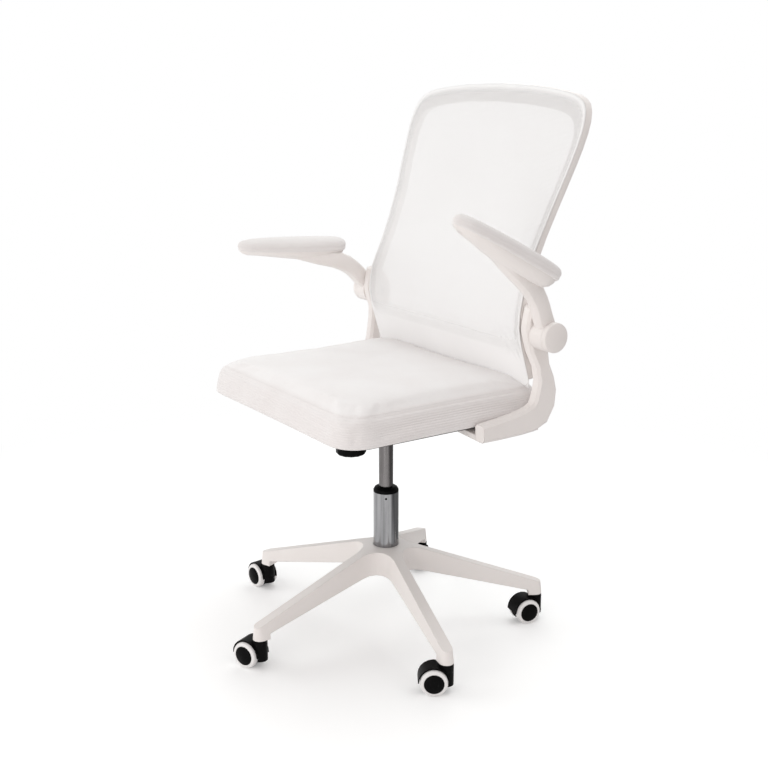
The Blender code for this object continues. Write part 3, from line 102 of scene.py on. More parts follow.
def roundedOutline(low, high, radius, steps):
    # a rectangle with round corners
    corners = (((high[0] - radius, low[1] + radius), -90), ((high[0] - radius, high[1] - radius), 0),
               ((low[0] + radius, high[1] - radius), 90), ((low[0] + radius, low[1] + radius), 180))
    points = []
    for centre, start in corners:
        for i in range(steps + 1):
            a = math.radians(start + 90 * i / steps)
            points.append((centre[0] + radius * math.cos(a), centre[1] + radius * math.sin(a)))
    return points


def evenLoop(points, step, fewest=8):
    # the same closed line with points at even steps
    points = [Vector(p) for p in points]
    lengths = [(points[(i + 1) % len(points)] - p).length for i, p in enumerate(points)]
    count = max(fewest, round(sum(lengths) / step))
    spacing = sum(lengths) / count
    even, i, run = [], 0, 0.0
    for k in range(count):
        target = k * spacing
        while run + lengths[i] < target:
            run += lengths[i]
            i += 1
        t = (target - run) / max(lengths[i], tiny)
        even.append(points[i].lerp(points[(i + 1) % len(points)], t))
    return even


def skinRows(bm, rows):
    # faces from each closed row of points to the next
    count = len(rows[0])
    for lower, upper in zip(rows[:-1], rows[1:]):
        for j in range(count):
            k = (j + 1) % count
            bm.faces.new((lower[j], lower[k], upper[k], upper[j]))


def meshFrom(bm, name):
    bmesh.ops.recalc_face_normals(bm, faces=bm.faces)
    mesh = bpy.data.meshes.new(name)
    bm.to_mesh(mesh)
    bm.free()
    mesh.shade_smooth()
    return mesh


def loftMesh(name, loops):
    # a skin over closed loops, whose ends close side to side like a ladder
    bm = bmesh.new()
    rows = [[bm.verts.new(p) for p in loop] for loop in loops]
    skinRows(bm, rows)
    count = len(rows[0])
    for row in (rows[0], rows[-1]):
        for j in range(count // 2 - 1):
            bm.faces.new((row[j], row[j + 1], row[count - 2 - j], row[count - 1 - j]))
    bmesh.ops.remove_doubles(bm, verts=bm.verts, dist=joinWithin)
    return meshFrom(bm, name)


def lineMesh(name, points):
    # a closed line as a mesh of edges
    mesh = bpy.data.meshes.new(name)
    edges = [(i, (i + 1) % len(points)) for i in range(len(points))]
    mesh.from_pydata([tuple(p) for p in points], edges, [])
    return mesh


def paint(mesh, material):
    mesh.materials.clear()
    mesh.materials.append(material)


def addPiece(name, data, material=None):
    piece = bpy.data.objects.new(name, data)
    bpy.context.collection.objects.link(piece)
    if material:
        paint(data, material)
    return piece


def evaluatedMesh(piece):
    view = bpy.context.evaluated_depsgraph_get()
    return bpy.data.meshes.new_from_object(piece.evaluated_get(view))


def bakeModifiers(piece):
    # what the modifiers make becomes the piece's own mesh
    mesh = evaluatedMesh(piece)
    piece.modifiers.clear()
    piece.data = mesh
    return piece


def coordinates(mesh):
    co = np.empty(len(mesh.vertices) * 3, np.float32)
    mesh.vertices.foreach_get("co", co)
    return co.reshape(-1, 3).astype(float)


def setCoordinates(mesh, co):
    mesh.vertices.foreach_set("co", co.astype(np.float32).ravel())
    mesh.update()


# nodes

class Wire:
    # a node's output that can be used in sums
    def __init__(self, bench, socket):
        self.bench, self.socket = bench, socket

    def calc(self, operation, *others):
        return self.bench.add("ShaderNodeMath", {"operation": operation}, dict(enumerate((self,) + others)))

    def other(self, name):
        # another output of the same node
        return Wire(self.bench, self.socket.node.outputs[name])

    def __add__(self, other):
        return self.calc("ADD", other)

    def __radd__(self, other):
        return self.calc("ADD", other)

    def __sub__(self, other):
        return self.calc("SUBTRACT", other)

    def __rsub__(self, other):
        return self.bench.add("ShaderNodeMath", {"operation": "SUBTRACT"}, {0: other, 1: self})

    def __mul__(self, other):
        return self.calc("MULTIPLY", other)

    def __rmul__(self, other):
        return self.calc("MULTIPLY", other)

    def __truediv__(self, other):
        return self.calc("DIVIDE", other)

    def __pow__(self, other):
        return self.calc("POWER", other)

    def sine(self):
        return self.calc("SINE")

    def fract(self):
        return self.calc("FRACT")

    def floor(self):
        return self.calc("FLOOR")

    def size(self):
        return self.calc("ABSOLUTE")

    def most(self, other):
        return self.calc("MAXIMUM", other)

    def between(self, low, high):
        # 0 below low, 1 above high, smooth in between
        return self.bench.add("ShaderNodeMapRange", {"interpolation_type": "SMOOTHSTEP"},
                              {"Value": self, "From Min": low, "From Max": high})


class Bench:
    # adds nodes to one tree and hands back an output of each
    def __init__(self, tree):
        self.tree = tree

    def add(self, kind, settings=None, sockets=None, out=0):
        node = self.tree.nodes.new(kind)
        for key, value in (settings or {}).items():
            setattr(node, key, value)
        for key, value in (sockets or {}).items():
            if isinstance(value, Wire):
                self.tree.links.new(value.socket, node.inputs[key])
            else:
                node.inputs[key].default_value = value
        return Wire(self, node.outputs[out]) if len(node.outputs) else None

    def show(self, shader, output):
        self.tree.links.new(shader.socket, self.tree.nodes[output].inputs["Surface"])


class Shade(Bench):
    # a material on Object coordinates
    def __init__(self, name, **fixed):
        self.material = bpy.data.materials.new(name)
        self.material.use_nodes = True
        super().__init__(self.material.node_tree)
        self.surface = self.tree.nodes["Principled BSDF"]
        for socket, value in fixed.items():
            self.surface.inputs[socket.replace("_", " ")].default_value = value
        self.place = self.add("ShaderNodeTexCoord", out="Object")

    def axes(self, source=None):
        x = self.add("ShaderNodeSeparateXYZ", sockets={0: source or self.place}, out="X")
        return x, x.other("Y"), x.other("Z")

    def cloud(self, scale, detail=2.0, rough=0.5, stretch=None):
        spot = self.place
        if stretch:
            spot = self.add("ShaderNodeMapping", sockets={"Vector": spot, "Scale": stretch})
        return self.add("ShaderNodeTexNoise", sockets={"Vector": spot, "Scale": scale, "Detail": detail,
                                                       "Roughness": rough})

    def blendColours(self, share, first, second):
        # inputs 6 and 7 and output 2 are the node's colours
        return self.add("ShaderNodeMix", {"data_type": "RGBA"}, {0: share, 6: first, 7: second}, out=2)

    def feed(self, **sockets):
        for name, wire in sockets.items():
            self.tree.links.new(wire.socket, self.surface.inputs[name.replace("_", " ")])

    def relief(self, height, depth, edge=None):
        # bump of the given depth in metres, over normals that round off the edges
        sockets = {"Height": height, "Distance": depth, "Strength": 1.0}
        if edge:
            sockets["Normal"] = self.add("ShaderNodeBevel", {"samples": 4}, {"Radius": edge})
        self.feed(Normal=self.add("ShaderNodeBump", sockets=sockets))


class ShapeTree(Bench):
    # a Geometry Nodes tree with named inputs
    def __init__(self, name, **inputs):
        super().__init__(bpy.data.node_groups.new(name, "GeometryNodeTree"))
        panel = self.tree.interface
        panel.new_socket("Geometry", in_out="INPUT", socket_type="NodeSocketGeometry")
        self.keys = {}
        for label, kind in inputs.items():
            socket = panel.new_socket(label, in_out="INPUT", socket_type="NodeSocket" + kind)
            self.keys[label] = socket.identifier
        panel.new_socket("Geometry", in_out="OUTPUT", socket_type="NodeSocketGeometry")
        self.start = self.add("NodeGroupInput", out="Geometry")

    def given(self, label):
        return self.start.other(label)

    def end(self, shape):
        self.add("NodeGroupOutput", sockets={"Geometry": shape})

    def endPainted(self, shape, finish):
        solid = self.add("GeometryNodeRealizeInstances", sockets={"Geometry": shape})
        smooth = self.add("GeometryNodeSetShadeSmooth", sockets={"Geometry": solid})
        self.end(self.add("GeometryNodeSetMaterial",
                          sockets={"Geometry": smooth, "Material": self.given(finish)}))

    def fit(self, piece, **values):
        # puts the tree on a piece with its inputs set
        modifier = piece.modifiers.new(self.tree.name, "NODES")
        modifier.node_group = self.tree
        for label, value in values.items():
            modifier[self.keys[label]] = value
        return piece


# materials

middleTone = 0.5  # the middle of a cloud or a mask


def tint(red, green, blue):
    return (red, green, blue, 1.0)


plasticSpec = dict(drift=dict(scale=7.0, detail=3.0), fine=dict(scale=1700.0),
                   marks=dict(scale=60.0, detail=4.0, rough=0.65, stretch=(1.0, 1.0, 0.25)),
                   markEdges=(0.60, 0.74), driftTone=1.4, markTone=0.12, driftRough=0.10, markRough=0.08,
                   driftRelief=0.3)


def mouldedPlastic(name, light, dark, rough, edge, grain, shine=0.45):
    # fine moulded grain, slow drift of tone, a few handling marks
    s = plasticSpec
    shade = Shade(name, Specular_IOR_Level=shine)
    drift = shade.cloud(**s["drift"])
    fine = shade.cloud(**s["fine"])
    marks = shade.cloud(**s["marks"]).between(*s["markEdges"])
    tone = (drift - middleTone) * s["driftTone"] + middleTone - marks * s["markTone"]
    shade.feed(Base_Color=shade.blendColours(tone, dark, light),
               Roughness=rough + (drift - middleTone) * s["driftRough"] + marks * s["markRough"])
    shade.relief(fine + drift * s["driftRelief"], grain, edge)
    return shade.material


tubeSpec = dict(lines=dict(scale=1.0, detail=3.0, rough=0.6, stretch=(130.0, 130.0, 3.0)),
                smear=dict(scale=26.0, detail=4.0, rough=0.6, stretch=(1.0, 1.0, 0.4)),
                lineEdges=(0.30, 0.70), smearEdges=(0.42, 0.75), lineTone=0.8, smearTone=0.2,
                lineRough=0.05, smearRough=0.08, depth=0.00002)


def polishedTube(name, light, dark, rough):
    # drawn metal: fine streaks along the tube, faint smears
    s = tubeSpec
    shade = Shade(name, Metallic=1.0)
    lines = shade.cloud(**s["lines"]).between(*s["lineEdges"])
    smear = shade.cloud(**s["smear"]).between(*s["smearEdges"])
    shade.feed(Base_Color=shade.blendColours(lines * s["lineTone"] + smear * s["smearTone"], light, dark),
               Roughness=rough + smear * s["smearRough"] + (lines - middleTone) * s["lineRough"])
    shade.relief(lines, s["depth"])
    return shade.material


steelSpec = dict(flakes=320.0, smear=dict(scale=45.0, detail=3.0), flakeTone=0.5, smearTone=0.4, rough=0.26,
                 flakeRough=0.08, smearRough=0.16, flakeRelief=0.2, depth=0.00004, edge=0.0006,
                 dark=tint(0.36, 0.36, 0.35), light=tint(0.60, 0.60, 0.61))


def platedSteel(name):
    # small flakes of zinc under faint smears
    s = steelSpec
    shade = Shade(name, Metallic=1.0)
    flakes = shade.add("ShaderNodeTexVoronoi", sockets={"Vector": shade.place, "Scale": s["flakes"]},
                       out="Color")
    flake = shade.axes(flakes)[0]
    smear = shade.cloud(**s["smear"])
    tone = flake * s["flakeTone"] + smear * s["smearTone"]
    shade.feed(Base_Color=shade.blendColours(tone, s["dark"], s["light"]),
               Roughness=s["rough"] + smear * s["smearRough"] + flake * s["flakeRough"])
    shade.relief(smear + flake * s["flakeRelief"], s["depth"], s["edge"])
    return shade.material


boardSpec = dict(grain=dict(scale=14.0, detail=5.0, rough=0.62, stretch=(6.0, 0.5, 6.0)),
                 pores=dict(scale=300.0, stretch=(4.0, 0.12, 4.0)), poreEdges=(0.58, 0.70), rough=0.55,
                 poreRough=0.25, grainRelief=0.4, depth=0.0003, edge=0.001,
                 dark=tint(0.022, 0.020, 0.019), light=tint(0.070, 0.064, 0.060))


def stainedBoard(name):
    # black-stained plywood, grain along Y
    s = boardSpec
    shade = Shade(name)
    grain = shade.cloud(**s["grain"])
    pores = shade.cloud(**s["pores"]).between(*s["poreEdges"])
    shade.feed(Base_Color=shade.blendColours(grain, s["dark"], s["light"]),
               Roughness=s["rough"] + pores * s["poreRough"])
    shade.relief(grain * s["grainRelief"] - pores, s["depth"], s["edge"])
    return shade.material


weaveSpec = dict(sheen=0.2, sheenRough=0.6, shine=0.25, wander=dict(scale=420.0),
                 drift=dict(scale=9.0, detail=3.0), slub=dict(scale=160.0, stretch=(0.3, 3.0, 3.0)),
                 slubEdges=(0.60, 0.78), driftTone=0.8, evenTone=0.45, slubTone=0.15, crossTone=0.12,
                 rough=0.78, slubRough=0.1, crossRelief=0.35, wanderRelief=0.4, slubRelief=0.5,
                 depth=0.00022, ribRound=0.6, foldWidth=0.5, seamBlur=0.002)


def wovenCloth(name, spec):
    # plain weave above the seam, level ribs below it; below the seam the band is darkened as painted shade, more
    # in the rib folds
    s = weaveSpec
    shade = Shade(name, Sheen_Weight=s["sheen"], Sheen_Roughness=s["sheenRough"],
                  Specular_IOR_Level=s["shine"])
    x, y, z = shade.axes()
    turn = 2 * math.pi / spec["thread"]
    cross = ((x * turn).sine() * (y * turn).sine()) * 0.5 + 0.5
    wander = shade.cloud(**s["wander"])
    drift = shade.cloud(**s["drift"])
    slub = shade.cloud(**s["slub"]).between(*s["slubEdges"])
    ribs = ((z - spec["ribFoot"]) * (math.pi / spec["ribPitch"])).sine().size()
    ribbed = 1 - z.between(spec["seam"] - s["seamBlur"], spec["seam"] + s["seamBlur"])
    fold = 1 - ribs.between(0.0, s["foldWidth"])
    # painted shade below the seam: darker all over, darker still in the folds between ribs
    ribPaintedShade = (fold * spec["ribShade"] + spec["bandShade"]) * ribbed
    tone = (drift - middleTone) * s["driftTone"] + s["evenTone"] + slub * s["slubTone"]
    tone = tone + ribPaintedShade + cross * s["crossTone"]
    shade.feed(Base_Color=shade.blendColours(tone, spec["light"], spec["dark"]),
               Roughness=s["rough"] + slub * s["slubRough"])
    weave = cross * s["crossRelief"] + wander * s["wanderRelief"] + slub * s["slubRelief"]
    shade.relief(weave * s["depth"] + (ribs ** s["ribRound"]) * ribbed * spec["ribDepth"], depth=1.0)
    return shade.material


knitSpec = dict(holeStep=0.0024, rowStep=0.0021, hole=0.35, holeBlur=0.05, tall=0.9, sheen=0.15,
                sheenRough=0.6, shine=0.3, drift=dict(scale=8.0, detail=3.0), fibre=dict(scale=900.0),
                driftTone=0.6, fibreTone=0.3, rough=0.7, fibreRough=0.15, threadRelief=0.7, fibreRelief=0.3,
                depth=0.0002, light=tint(0.955, 0.950, 0.948), dark=tint(0.910, 0.901, 0.898))


def openNet(name):
    # rows of round holes, each row half a step along; none where the hem is
    s = knitSpec
    shade = Shade(name, Sheen_Weight=s["sheen"], Sheen_Roughness=s["sheenRough"],
                  Specular_IOR_Level=s["shine"])
    x, _, z = shade.axes()
    level = z / s["rowStep"]
    shift = (level.floor() * 0.5).fract()
    u = (x / s["holeStep"] + shift).fract() - 0.5
    v = level.fract() - 0.5
    far = (u * u + v * v * s["tall"]) ** 0.5
    thread = far.between(s["hole"] - s["holeBlur"], s["hole"] + s["holeBlur"])
    hem = shade.add("ShaderNodeAttribute", {"attribute_name": "hem"}, out="Fac")
    drift = shade.cloud(**s["drift"])
    fibre = shade.cloud(**s["fibre"])
    tone = drift * s["driftTone"] + fibre * s["fibreTone"]
    shade.feed(Base_Color=shade.blendColours(tone, s["light"], s["dark"]),
               Roughness=s["rough"] + fibre * s["fibreRough"], Alpha=thread.most(hem))
    shade.relief(thread * s["threadRelief"] + fibre * s["fibreRelief"], s["depth"])
    return shade.material


finishes = {
    "white_nylon": mouldedPlastic("whiteNylon", tint(0.872, 0.832, 0.810), tint(0.818, 0.772, 0.748),
                                  rough=0.42, edge=0.0016, grain=0.00005),
    "white_tread": mouldedPlastic("whiteTread", tint(0.90, 0.885, 0.88), tint(0.82, 0.80, 0.795),
                                  rough=0.5, edge=0.0008, grain=0.00006),
    "black_nylon": mouldedPlastic("blackNylon", tint(0.006, 0.0058, 0.006), tint(0.003, 0.003, 0.0032),
                                  rough=0.38, edge=0.0009, grain=0.00005, shine=0.04),
    "chrome": polishedTube("chromeTube", tint(0.36, 0.36, 0.37), tint(0.15, 0.15, 0.157), rough=0.14),
    "grey_cylinder": polishedTube("greyCylinder", tint(0.25, 0.237, 0.237), tint(0.115, 0.108, 0.108),
                                  rough=0.26),
    "plain_steel": platedSteel("platedSteel"),
    "seat_board": stainedBoard("stainedBoard"),
}
print("materials made:", len(finishes))


# hard pieces keep their CAD shape and get a finish and soft shading

facetSpec = dict(join=0.00001, sharp=34)  # metres, degrees
softNodes = {"seat_cushion", "back_mesh", "arm_pad_left", "arm_pad_right", "tension_spring"}


def facetTree():
    # joins the facets and smooths every edge that is blunter than the given angle
    tree = ShapeTree("smoothFacets", angle="Float")
    joined = tree.add("GeometryNodeMergeByDistance",
                      sockets={"Geometry": tree.start, "Distance": facetSpec["join"]})
    fold = tree.add("GeometryNodeInputMeshEdgeAngle", out="Unsigned Angle")
    blunt = tree.add("FunctionNodeCompare", {"operation": "LESS_EQUAL"}, {0: fold, 1: tree.given("angle")})
    faces = tree.add("GeometryNodeSetShadeSmooth", sockets={"Geometry": joined})
    edges = tree.add("GeometryNodeSetShadeSmooth", {"domain": "EDGE"},
                     {"Geometry": faces, "Shade Smooth": blunt})
    tree.end(edges)
    return tree


smoothFacets = facetTree()
for part in frame["record"]["subparts"]:
    if part["node"] not in softNodes:
        node = nodes[part["node"]]
        paint(node.data, finishes[part["material_slot"]])
        smoothFacets.fit(node, angle=math.radians(facetSpec["sharp"]))
print("hard pieces finished")


# stitches and a bead that follow a line, as Geometry Nodes

threadSpec = dict(pitch=0.0045, length=0.0034, thick=0.0006)
threadProud = 0.0001  # how far the stitches stand off the cloth
sewingThread = mouldedPlastic("sewingThread", tint(0.86, 0.84, 0.83), tint(0.72, 0.70, 0.69),
                              rough=0.7, edge=0.0002, grain=0.00003)


def stitchTree():
    # one long drop of thread at each step along the line
    tree = ShapeTree("stitchLine", pitch="Float", length="Float", thick="Float", thread="Material")
    curve = tree.add("GeometryNodeMeshToCurve", sockets={"Mesh": tree.start})
    spaced = tree.add("GeometryNodeResampleCurve", {"mode": "LENGTH"},
                      {"Curve": curve, "Length": tree.given("pitch")})
    points = tree.add("GeometryNodeCurveToPoints", {"mode": "EVALUATED"}, {"Curve": spaced}, out="Points")
    drop = tree.add("GeometryNodeMeshIcoSphere", sockets={"Radius": 0.5, "Subdivisions": 2})
    thick = tree.given("thick")
    size = tree.add("ShaderNodeCombineXYZ", sockets={"X": thick, "Y": thick, "Z": tree.given("length")})
    sewn = tree.add("GeometryNodeInstanceOnPoints",
                    sockets={"Points": points, "Rotation": points.other("Rotation"),
                             "Instance": drop, "Scale": size})
    tree.endPainted(sewn, "thread")
    return tree


def beadTree():
    # a round bead along the line
    tree = ShapeTree("beadLine", radius="Float", sides="Int", finish="Material")
    curve = tree.add("GeometryNodeMeshToCurve", sockets={"Mesh": tree.start})
    circle = tree.add("GeometryNodeCurvePrimitiveCircle",
                      sockets={"Resolution": tree.given("sides"), "Radius": tree.given("radius")})
    swept = tree.add("GeometryNodeCurveToMesh", sockets={"Curve": curve, "Profile Curve": circle})
    tree.endPainted(swept, "finish")
    return tree


stitchLine = stitchTree()
beadLine = beadTree()


def sewAlong(name, points):
    piece = addPiece(name, lineMesh(name, points))
    return bakeModifiers(stitchLine.fit(piece, thread=sewingThread, **threadSpec))


def beadAlong(name, points, finish, radius, sides):
    piece = addPiece(name, lineMesh(name, points))
    return bakeModifiers(beadLine.fit(piece, radius=radius, sides=sides, finish=finish))


# padded pieces

simSpec = dict(frames=20, quality=4, mass=0.25, bending=1.5, ease=0.5)
creaseReach = 3  # widths of a seam from its line to where the crease ends


def inflate(piece, spec, held):
    # cloth under pressure with its movement capped; held points stay
    s = simSpec
    mesh = piece.data
    rest = coordinates(mesh)
    hold = piece.vertex_groups.new(name="hold")
    hold.add([int(i) for i in np.nonzero(held(rest))[0]], 1.0, "REPLACE")
    cloth = piece.modifiers.new("cloth", "CLOTH")
    cloth.settings.quality = s["quality"]
    cloth.settings.mass = s["mass"]
    cloth.settings.tension_stiffness = spec["stiff"]
    cloth.settings.compression_stiffness = spec["stiff"]
    cloth.settings.shear_stiffness = spec["stiff"] / 2
    cloth.settings.bending_stiffness = s["bending"]
    cloth.settings.use_pressure = True
    cloth.settings.uniform_pressure_force = spec["pressure"]
    cloth.settings.effector_weights.gravity = 0.0
    cloth.settings.vertex_group_mass = "hold"
    cloth.collision_settings.use_collision = False
    cloth.point_cache.frame_start = 1
    cloth.point_cache.frame_end = s["frames"]
    for step in range(1, s["frames"] + 1):
        bpy.context.scene.frame_set(step)
    swollen = evaluatedMesh(piece)
    move = coordinates(swollen) - rest
    far = np.linalg.norm(move, axis=1, keepdims=True)
    move *= np.minimum(1.0, spec["cap"] / np.maximum(far, tiny))
    bpy.data.meshes.remove(swollen)
    piece.modifiers.clear()
    piece.vertex_groups.clear()
    bpy.context.scene.frame_set(1)
    setCoordinates(mesh, rest + move)
    most = float(np.linalg.norm(move, axis=1).max())
    print("swollen:", piece.name, "most", round(most * 1000, 1), "mm")


def swell(name, mesh, spec, held):
    # an even skin that is blown up, relaxed and made finer
    piece = addPiece(name, mesh)
    remesh = piece.modifiers.new("even", "REMESH")
    remesh.mode = "VOXEL"
    remesh.voxel_size = spec["voxel"]
    remesh.use_smooth_shade = True
    bakeModifiers(piece)
    inflate(piece, spec, held)
    relax = piece.modifiers.new("relax", "SMOOTH")
    relax.factor = simSpec["ease"]
    relax.iterations = spec["relax"]
    finer = piece.modifiers.new("finer", "SUBSURF")
    finer.levels = finer.render_levels = 1
    bakeModifiers(piece)
    piece.data.shade_smooth()
    return piece


def onSurface(piece, points, proud=0.0):
    # the nearest points of the piece, raised off it
    tree = BVHTree.FromObject(piece, bpy.context.evaluated_depsgraph_get())
    found = []
    for p in points:
        spot, normal = tree.find_nearest(Vector(p))[:2]
        found.append(spot + normal * proud)
    return found


def crease(piece, line, depth, width):
    # draws the surface in along a seam
    mesh = piece.data
    tree = KDTree(len(line))
    for i, p in enumerate(line):
        tree.insert(p, i)
    tree.balance()
    co = coordinates(mesh)
    normals = np.empty(len(mesh.vertices) * 3, np.float32)
    mesh.vertex_normals.foreach_get("vector", normals)
    normals = normals.reshape(-1, 3)
    for i in range(len(co)):
        distance = tree.find(co[i])[2]
        if distance < creaseReach * width:
            co[i] -= normals[i] * depth * math.exp(-((distance / width) ** 2))
    setCoordinates(mesh, co)


def drawSeam(piece, loop, spec):
    # creases the piece along a closed line and gives back the seam's points
    line = onSurface(piece, evenLoop(loop, spec["seamStep"]))
    crease(piece, line, spec["seamDepth"], spec["seamWidth"])
    return line


# the seat cushion; sideRows are (share of the shoulder, share of the seam's height),
# seamRows (share of the shoulder, depth below the seam), panelRows shares of the way to the middle
cushionSpec = dict(corner=0.056, cornerSteps=10, outlineStep=0.012, drawIn=0.003, seamUp=0.055,
                   shoulder=0.0140, crown=0.0135, foot=0.004, shrink=0.0003,
                   sideRows=((0.0, 0.45), (0.15, 0.75)), seamRows=((0.55, 0.004), (1.0, 0.0015)),
                   panelRows=(0.05, 0.14, 0.27, 0.43, 0.62, 0.84, 0.98), panelDip=0.001, heldUp=0.004,
                   voxel=0.0055, pressure=3.5, stiff=25.0, cap=0.006, relax=3,
                   seamDepth=0.0014, seamWidth=0.0030, seamStep=0.003, stitchIn=0.984, stitchUp=0.004)
cushionLow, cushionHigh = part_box("seat_cushion")
cushionSeam = cushionLow.z + cushionSpec["seamUp"]
cushionMiddle = (cushionLow.y + cushionHigh.y) / 2
cushionHalfX, cushionHalfY = cushionHigh.x, (cushionHigh.y - cushionLow.y) / 2
# the side band below the seam is darkened as painted shade, all over and more in the rib folds
clothSpec = dict(thread=0.0016, seam=cushionSeam, ribFoot=cushionLow.z, ribPitch=0.0040, ribDepth=0.0004,
                 ribShade=0.08, bandShade=0.30,
                 light=tint(0.905, 0.898, 0.896), dark=tint(0.785, 0.745, 0.735))
seatCloth = wovenCloth("seatCloth", clothSpec)


def cushionOutline():
    # the sides pull in between the corners
    s = cushionSpec
    box = roundedOutline(cushionLow, cushionHigh, s["corner"], s["cornerSteps"])
    points = []
    for p in evenLoop([(x, y, 0) for x, y in box], s["outlineStep"]):
        side, along = p.x / cushionHalfX, (p.y - cushionMiddle) / cushionHalfY
        points.append((p.x - s["drawIn"] * side * (1 - along**2), p.y - s["drawIn"] * along * (1 - side**2)))
    return points


def cushionLoop(outline, inset, z):
    narrow, short = 1 - inset / cushionHalfX, 1 - inset / cushionHalfY
    return [(x * narrow, cushionMiddle + (y - cushionMiddle) * short, z) for x, y in outline]


def makeCushion():
    s = cushionSpec
    base, seam, shoulder = cushionLow.z, cushionSeam, s["shoulder"]
    rows = [(s["foot"], base), (s["shrink"], base + s["foot"])]
    rows += [(s["shrink"] + share * shoulder, base + up * s["seamUp"]) for share, up in s["sideRows"]]
    rows += [(s["shrink"] + share * shoulder, seam - below) for share, below in s["seamRows"]]
    for share in s["panelRows"]:
        rise = (s["crown"] - s["shrink"]) * math.sqrt(1 - (1 - share) ** 2)
        rows.append((shoulder + share * (cushionHalfY - shoulder), seam - s["panelDip"] + rise))
    outline = cushionOutline()
    loops = [cushionLoop(outline, inset, z) for inset, z in rows]
    piece = swell("seatCushion", loftMesh("seatCushion", loops), s, lambda co: co[:, 2] < base + s["heldUp"])
    co = coordinates(piece.data)
    co[:, 2] = np.maximum(co[:, 2], base)
    setCoordinates(piece.data, co)
    seamLine = drawSeam(piece, cushionLoop(outline, shoulder, seam), s)
    paint(piece.data, seatCloth)
    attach(piece, "seat")
    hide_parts("seat_cushion")
    above = [(p.x * s["stitchIn"], cushionMiddle + (p.y - cushionMiddle) * s["stitchIn"], p.z + s["stitchUp"])
             for p in seamLine]
    stitches = sewAlong("seatStitches", onSurface(piece, above, threadProud))
    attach(stitches, "seat")
    return piece


cushion = makeCushion()
print("cushion made:", len(cushion.data.polygons), "faces")


# arm pads, drawn on the pivot with the pad level, then turned to their arm; widths are (share of the
# length, share of the half width), rows (inset in half widths, rise in skirts, edges or crowns)
padSpec = dict(halfWidth=0.040, rear=0.056, length=0.252, underside=0.0875, edge=0.016, crown=0.008,
               skirt=0.0035, tipRise=0.003, riseFrom=0.45, blunt=0.6, leastHalf=0.04, steps=30, seamUp=0.3,
               widths=((0, 0.62), (0.12, 0.90), (0.35, 1.0), (0.7, 0.88), (0.92, 0.62), (1.0, 0.36)),
               skirtRows=((0.16, 0.0), (0.07, 0.0), (0.02, 0.6), (0.01, 1.4)),
               edgeRows=((0.0, 0.0), (0.0, 0.4)),
               crownRows=((0.05, 0.0), (0.14, 0.32), (0.30, 0.66), (0.52, 0.91), (0.76, 1.0)),
               voxel=0.0040, pressure=3.0, stiff=20.0, cap=0.003, relax=2,
               seamDepth=0.0012, seamWidth=0.0024, seamStep=0.003, stitchIn=0.99, stitchUp=0.0035)
padRaised = {"left": 27.5, "right": 3.0}  # degrees
padCloth = wovenCloth("padCloth", dict(clothSpec, thread=0.0014, seam=0.0,  # seam at the floor: no ribs
                                       light=tint(0.850, 0.826, 0.818), dark=tint(0.745, 0.705, 0.692)))
armPivot = Vector(next(j for j in frame["joints"] if j["name"] == "arm_flip_left")["pos_m"])


def padRise(y):
    # the underside lifts towards the tip
    s = padSpec
    share = (-y - s["rear"]) / s["length"]
    return s["tipRise"] * max(0, (share - s["riseFrom"]) / (1 - s["riseFrom"])) ** 2


def padOutline(inset):
    s = padSpec
    blunt = s["blunt"] * s["halfWidth"]
    length = s["length"] - 2 * inset
    outer, inner = [], []
    for i in range(s["steps"] + 1):
        share = 0.5 - 0.5 * math.cos(math.pi * i / s["steps"])
        fromEnd = min(share, 1 - share) * length
        roundOff = math.sqrt(max(0, 1 - (1 - min(1, fromEnd / blunt)) ** 2))
        half = s["halfWidth"] * smoothValue(s["widths"], share) - inset
        half = max(half * roundOff, s["leastHalf"] * s["halfWidth"])
        y = -s["rear"] - inset - length * share
        outer.append((half, y))
        inner.append((-half, y))
    return outer + inner[::-1]


def makePad(side):
    s = padSpec
    padLow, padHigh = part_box("arm_pad_" + side)
    middleX = (padLow.x + padHigh.x) / 2
    low, edge = s["underside"] - s["skirt"], s["underside"] + s["edge"]
    seam = s["underside"] + s["seamUp"] * s["edge"]
    rows = [(inset, low + up * s["skirt"]) for inset, up in s["skirtRows"]]
    rows += [(inset, seam + up * s["edge"]) for inset, up in s["edgeRows"]]
    rows += [(inset, edge + up * s["crown"]) for inset, up in s["crownRows"]]
    loops = []
    for inset, z in rows:
        below = max(0, (edge - z) / (edge - low))
        loops.append([(x, y, z + padRise(y) * below) for x, y in padOutline(inset * s["halfWidth"])])
    piece = swell("armPad." + side, loftMesh("armPad." + side, loops), s, lambda co: co[:, 2] < seam)
    seamLine = drawSeam(piece, [(x, y, seam) for x, y in padOutline(0.0)], s)
    turn = (Matrix.Translation((middleX, armPivot.y, armPivot.z))
            @ Matrix.Rotation(-math.radians(padRaised[side]), 4, "X"))
    above = [(p.x * s["stitchIn"], p.y, p.z + s["stitchUp"]) for p in seamLine]
    sewn = [turn @ p for p in onSurface(piece, above, threadProud)]
    piece.data.transform(turn)
    paint(piece.data, padCloth)
    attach(piece, "arm_" + side)
    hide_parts("arm_pad_" + side)
    stitches = sewAlong("padStitches." + side, sewn)
    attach(stitches, "arm_" + side)


for side in ("left", "right"):
    makePad(side)
print("arm pads made")


